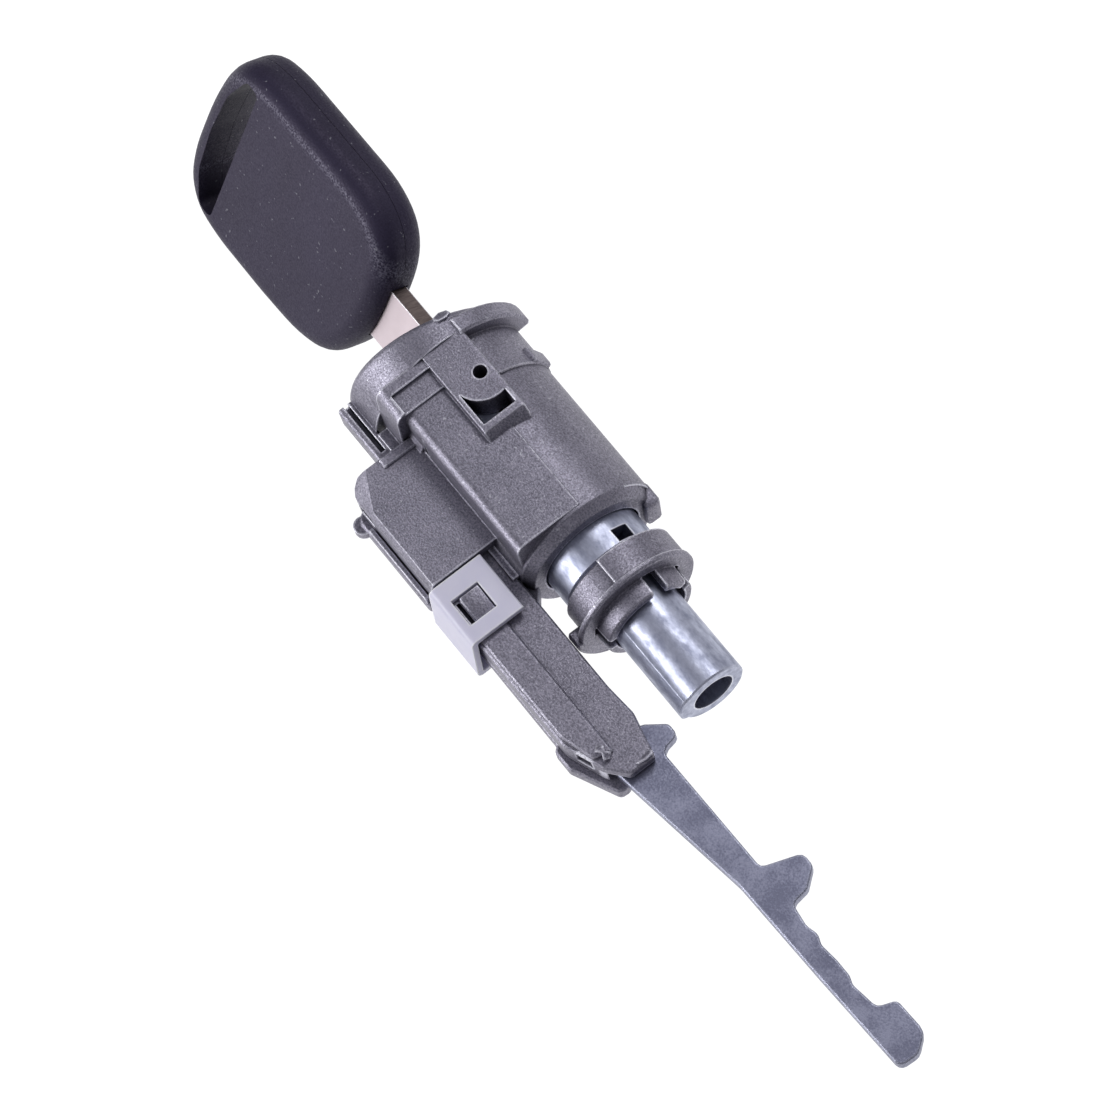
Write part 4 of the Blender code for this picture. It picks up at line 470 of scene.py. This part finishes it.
def smooth_skin(name, body):
    """The node's own shape with its facets welded and shaded as the curved surfaces they are."""
    node = nodes[name]
    mesh = node.data.copy()
    mesh.attributes.remove(mesh.attributes["custom_normal"])
    shape = bmesh.new()
    shape.from_mesh(mesh)
    bmesh.ops.remove_doubles(shape, verts=shape.verts, dist=WELD)
    if name in RESHAPED:
        RESHAPED[name](shape)
    shade(shape)
    shape.to_mesh(mesh)
    shape.free()
    piece = bpy.data.objects.new(name + "_skin", mesh)
    bpy.context.scene.collection.objects.link(piece)
    even = piece.modifiers.new("even_shading", "WEIGHTED_NORMAL")
    even.keep_sharp = True
    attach(piece, body)
    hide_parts(name)
    return piece


def return_spring():
    """The lever's spring, which shortens as the lever's front end swings towards the box's wall; here it is a
    smooth skin on the housing with a mesh of its own, fixed in shape.
    """
    coil = smooth_skin("lever_return_spring", "housing")
    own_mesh(coil)


def finished(name, shape, body, slot, *replaced):
    """A new piece from a bmesh, riding on its body and taking that slot's finish."""
    bmesh.ops.recalc_face_normals(shape, faces=shape.faces)
    shade(shape)
    mesh = bpy.data.meshes.new(name)
    shape.to_mesh(mesh)
    shape.free()
    mesh.materials.append(finishes[slot])
    piece = bpy.data.objects.new(name, mesh)
    bpy.context.scene.collection.objects.link(piece)
    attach(piece, body)
    if replaced:
        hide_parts(*replaced)
    return piece


def upright(outline, low, high):
    """A flat outline of (x, y) points raised from one height to another."""
    shape = bmesh.new()
    face = shape.faces.new([shape.verts.new((x, y, low)) for x, y in outline])
    raised = bmesh.ops.extrude_face_region(shape, geom=[face])["geom"]
    top = [v for v in raised if isinstance(v, bmesh.types.BMVert)]
    bmesh.ops.translate(shape, vec=(0, 0, high - low), verts=top)
    bmesh.ops.recalc_face_normals(shape, faces=shape.faces)
    return shape


def block(low, high):
    """A block between its lowest and its highest corner, both in mm."""
    outline = ((low[0], low[1]), (low[0], high[1]), (high[0], high[1]), (high[0], low[1]))
    return upright([(x * MM, y * MM) for x, y in outline], low[2] * MM, high[2] * MM)


# Faces that meet at less than this angle, in radians, become one.
FLAT = 0.01


def carved(shape, cutters):
    """The shape less its cutters, which are all used up."""
    made = []
    for part in [shape] + cutters:
        mesh = bpy.data.meshes.new("carving")
        part.to_mesh(mesh)
        part.free()
        made.append(bpy.data.objects.new("carving", mesh))
        bpy.context.scene.collection.objects.link(made[-1])
    for tool in made[1:]:
        cut = made[0].modifiers.new("cut", "BOOLEAN")
        cut.operation = "DIFFERENCE"
        cut.solver = "EXACT"
        cut.object = tool
    result = bmesh.new()
    result.from_object(made[0], bpy.context.evaluated_depsgraph_get())
    for part in made:
        bpy.data.objects.remove(part)
    bmesh.ops.dissolve_limit(result, angle_limit=FLAT, verts=result.verts, edges=result.edges)
    return result


def spline(points, steps):
    """A smooth closed line through the points."""
    line = []
    count = len(points)
    for i in range(count):
        a, b, c, d = (Vector(points[(i + k) % count]) for k in (-1, 0, 1, 2))
        for k in range(steps):
            t = k / steps
            line.append((2 * b + (c - a) * t + (2 * a - 5 * b + 4 * c - d) * t * t
                         + (3 * b - a - 3 * c + d) * t ** 3) / 2)
    return line


HEAD_HALF_THICK = 4.6 * MM
HEAD_ROUND = 3.4 * MM
HEAD_SEAM = 0.04 * MM
HEAD_ROUND_STEPS = 7
HEAD_EDGE_STEPS = 4
# The head's edge, along and across the key in mm: fuller on the side that the ring hangs from.
HEAD_EDGE = (
    (-16.1, 4.6), (-17.4, 10.4), (-20.8, 14.5), (-26.5, 16.7), (-34, 17), (-42, 17), (-49.5, 16.8),
    (-54.8, 15.3), (-57.8, 11.4), (-59.1, 5.6), (-59.4, -1.6), (-59.1, -7.4), (-57.6, -12), (-54, -15.5),
    (-48.5, -16.9), (-42, -17.19), (-34, -17.19), (-26.8, -16.6), (-21.4, -14.4), (-18.2, -10), (-16.3, -4.2),
)
RING_SLOT = (
    (-50.2, -13.4), (-50.2, 13.4), (-53.2, 13.6), (-55.6, 8), (-56.2, 0), (-55.6, -8), (-53.2, -13.6),
)
RING_SLOT_CORNER = 0.9 * MM
# The rooms for the blade and the chip between the halves, by their lowest and highest corner in mm.
BLADE_ROOM = ((-40.3, -6.1, -1), (-15, 4.5, 1.7))
CHIP_ROOM = ((-46, -7, -1), (-40, 7, 1.9))


def head_half(name, side):
    """One moulded half of the key head: rounded all round its face, with the key ring's slot."""
    edge = [(p.x * MM, p.y * MM) for p in spline(HEAD_EDGE, HEAD_EDGE_STEPS)]
    shape = upright(edge, HEAD_SEAM, HEAD_HALF_THICK)
    rim = [e for e in shape.edges if all(v.co.z > HEAD_HALF_THICK / 2 for v in e.verts)]
    bmesh.ops.bevel(shape, geom=rim, offset=HEAD_ROUND, segments=HEAD_ROUND_STEPS, profile=0.5,
                    affect="EDGES", material=-1, offset_type="OFFSET", clamp_overlap=True)
    slot = upright([(x * MM, y * MM) for x, y in RING_SLOT], -MM, HEAD_HALF_THICK + MM)
    corners = [e for e in slot.edges if abs(e.verts[0].co.z - e.verts[1].co.z) > MM]
    bmesh.ops.bevel(slot, geom=corners, offset=RING_SLOT_CORNER, segments=4, profile=0.5, affect="EDGES",
                    material=-1)
    shape = carved(shape, [slot, block(*BLADE_ROOM), block(*CHIP_ROOM)])
    frame_of_key = Matrix(((1, 0, 0), KEY_ACROSS, KEY_OUT)).transposed() @ Matrix.Diagonal((1, 1, side))
    bmesh.ops.transform(shape, matrix=frame_of_key.to_4x4(), verts=shape.verts)
    return finished(name + "_moulding", shape, "key", "black_plastic", name)


# The clip's catch by its lowest and highest corner in mm. Points past both its middles are the top edge
# that drops to make the ramp.
CATCH = ((29.1, -20.2, 3.3), (33.3, -16.8, 4.7))
CATCH_MIDDLE_X = 31 * MM
CATCH_MIDDLE_Z = 4 * MM
CATCH_DROP = 0.7 * MM
CATCH_EDGE = 0.2 * MM


def clip_catch():
    """The cast catch that fills most of the clip's window, its top sloping down away from the lever box."""
    shape = block(*CATCH)
    for vert in shape.verts:
        if vert.co.z > CATCH_MIDDLE_Z and vert.co.x > CATCH_MIDDLE_X:
            vert.co.z -= CATCH_DROP
    bmesh.ops.bevel(shape, geom=list(shape.edges), offset=CATCH_EDGE, segments=2, profile=0.5, affect="EDGES",
                    material=-1)
    return finished("clip_catch", shape, "housing", "cast_zinc")


# Each scrap of flash: its name, the heights of its foot and its top, and its outline, in mm.
FLASH = (
    ("flash_on_rib", 2.2, 3.7,
     ((59.4, -18.4), (60.2, -17.5), (60.9, -17.9), (61.4, -17.2), (62.1, -17.9), (61.7, -18.8), (60.8, -18.4),
      (60.1, -19.1))),
    ("flash_on_bezel", 12.9, 13.75,
     ((-4.7, 1.9), (-4.1, 1.7), (-3.5, 2.3), (-3.4, 3.6), (-3.8, 4.4), (-4.5, 4.2), (-4.8, 3))),
    ("flash_on_arm_end", 2, 3.1,
     ((64.2, -12.9), (64.9, -12.4), (65.4, -12.9), (65.5, -13.9), (65.2, -15.2), (64.8, -15.4),
      (64.7, -14.2))),
)
# How far the torn top rises and falls, and the step of the wave that it follows from point to point.
TEAR_DEPTH = 0.35 * MM
TEAR_STEP = 5.1


def flash(name, low, high, outline):
    """A torn scrap of casting flash left on an edge: ragged in outline, its top broken unevenly."""
    shape = upright([(x * MM, y * MM) for x, y in outline], low * MM, high * MM)
    for i, vert in enumerate(shape.verts):
        if vert.co.z > (low + high) / 2 * MM:
            vert.co.z += TEAR_DEPTH * math.sin(TEAR_STEP * i)
    return finished(name, shape, "housing", "cast_zinc")


def dress_nodes():
    """Gives each solid its real finish, by the record's material slots."""
    finishes.update({
        "cast_zinc": die_cast_zinc(),
        "bright_zinc": bright_zinc(),
        "plated_steel": plated_steel(),
        "nickel": nickel(),
        "nylon": moulded_nylon(),
        "black_plastic": key_plastic(),
        "spring_steel": drawn_metal("drawn_spring_steel", "#6A6C72", "#8F9299", 0.35),
        "brass": drawn_metal("rolled_brass", "#A8863F", "#C9A75A", 0.3),
        "chip_glass": smoked_glass(),
    })
    for name, node in nodes.items():
        node.material_slots[0].material = finishes[slots[name]]


def lamp(name, direction, distance, size, power):
    """A square soft lamp that shines on the barrel from that side."""
    light = bpy.data.lights.new(name, "AREA")
    light.energy = power
    light.size = size
    holder = bpy.data.objects.new(name, light)
    bpy.context.scene.collection.objects.link(holder)
    aim = Vector(direction).normalized()
    place = Matrix.Translation(aim * distance + LAMP_TARGET)
    holder.matrix_world = place @ aim.to_track_quat("Z", "Y").to_matrix().to_4x4()


def floor():
    """A pale floor under the lowest point, white to the eye and keeping a faint shadow."""
    low = cad_box[0].z - FLOOR_GAP
    shape = bmesh.new()
    place = Matrix.Translation((0, 0, low))
    bmesh.ops.create_grid(shape, x_segments=1, y_segments=1, size=FLOOR_SIZE / 2, matrix=place)
    mesh = bpy.data.meshes.new("floor")
    shape.to_mesh(mesh)
    shape.free()
    piece = bpy.data.objects.new("floor", mesh)
    bpy.context.scene.collection.objects.link(piece)
    material = bpy.data.materials.new("white_studio_floor")
    material.use_nodes = True
    tree = material.node_tree
    tree.nodes.clear()
    matt = add(tree, "ShaderNodeBsdfDiffuse", {"Color": linear("#ECECEF")})
    glow = add(tree, "ShaderNodeEmission", {"Color": (1, 1, 1, 1), "Strength": FLOOR_GLOW})
    seen = seen_rays(tree)
    share = add(tree, "ShaderNodeMath", {0: seen, 1: 1 - SHADOW_SHARE}, operation="MULTIPLY")
    both = add(tree, "ShaderNodeMixShader", {0: share.outputs[0], 1: matt.outputs[0], 2: glow.outputs[0]})
    add(tree, "ShaderNodeOutputMaterial", {"Surface": both.outputs[0]})
    mesh.materials.append(material)


def seen_rays(tree):
    """1 for the rays that show the background to the eye, in metal and through glass too."""
    path = add(tree, "ShaderNodeLightPath")
    seen = add(tree, "ShaderNodeMath", {0: path.outputs["Is Camera Ray"], 1: path.outputs["Is Glossy Ray"]},
               operation="ADD")
    seen = add(tree, "ShaderNodeMath", {0: seen.outputs[0], 1: path.outputs["Is Transmission Ray"]},
               operation="ADD", use_clamp=True)
    return seen.outputs[0]


def studio():
    """Soft studio light, brighter towards the sky, with the three lamps. The camera sees plain white."""
    scene = bpy.context.scene
    world = bpy.data.worlds.new("studio")
    scene.world = world
    world.use_nodes = True
    tree = world.node_tree
    tree.nodes.clear()
    way = add(tree, "ShaderNodeTexCoord").outputs["Generated"]
    height = add(tree, "ShaderNodeSeparateXYZ", {0: way})
    level = add(tree, "ShaderNodeMapRange",
                {0: height.outputs["Z"], 1: -0.1, 2: 0.9, 3: SKY_AT_FLOOR, 4: SKY_ABOVE})
    path = add(tree, "ShaderNodeLightPath")
    strength = add(tree, "ShaderNodeMix", {0: path.outputs["Is Camera Ray"], 2: level.outputs[0], 3: 1.0})
    ground = add(tree, "ShaderNodeBackground", {"Color": linear("#F6F6FF"),
                                                "Strength": strength.outputs[0]})
    add(tree, "ShaderNodeOutputWorld", {"Surface": ground.outputs[0]})
    for settings in LAMPS:
        lamp(*settings)
    scene.view_settings.view_transform = "Standard"


def camera():
    """The photograph's own viewpoint."""
    lens = bpy.data.cameras.new("camera")
    lens.lens = CAMERA_LENS
    lens.sensor_width = SENSOR_WIDTH
    lens.clip_start = CAMERA_NEAR
    holder = bpy.data.objects.new("camera", lens)
    bpy.context.scene.collection.objects.link(holder)
    turn = Matrix((CAMERA_RIGHT, CAMERA_UP, CAMERA_BACK)).transposed().to_4x4()
    holder.matrix_world = Matrix.Translation(CAMERA_PLACE) @ turn
    bpy.context.scene.camera = holder


camera()
floor()
studio()
dress_nodes()
for body, names in SHOWN.items():
    for name in names:
        smooth_skin(name, body)
return_spring()
head_half("key_head_front", 1)
head_half("key_head_back", -1)
clip_catch()
for scrap in FLASH:
    flash(*scrap)
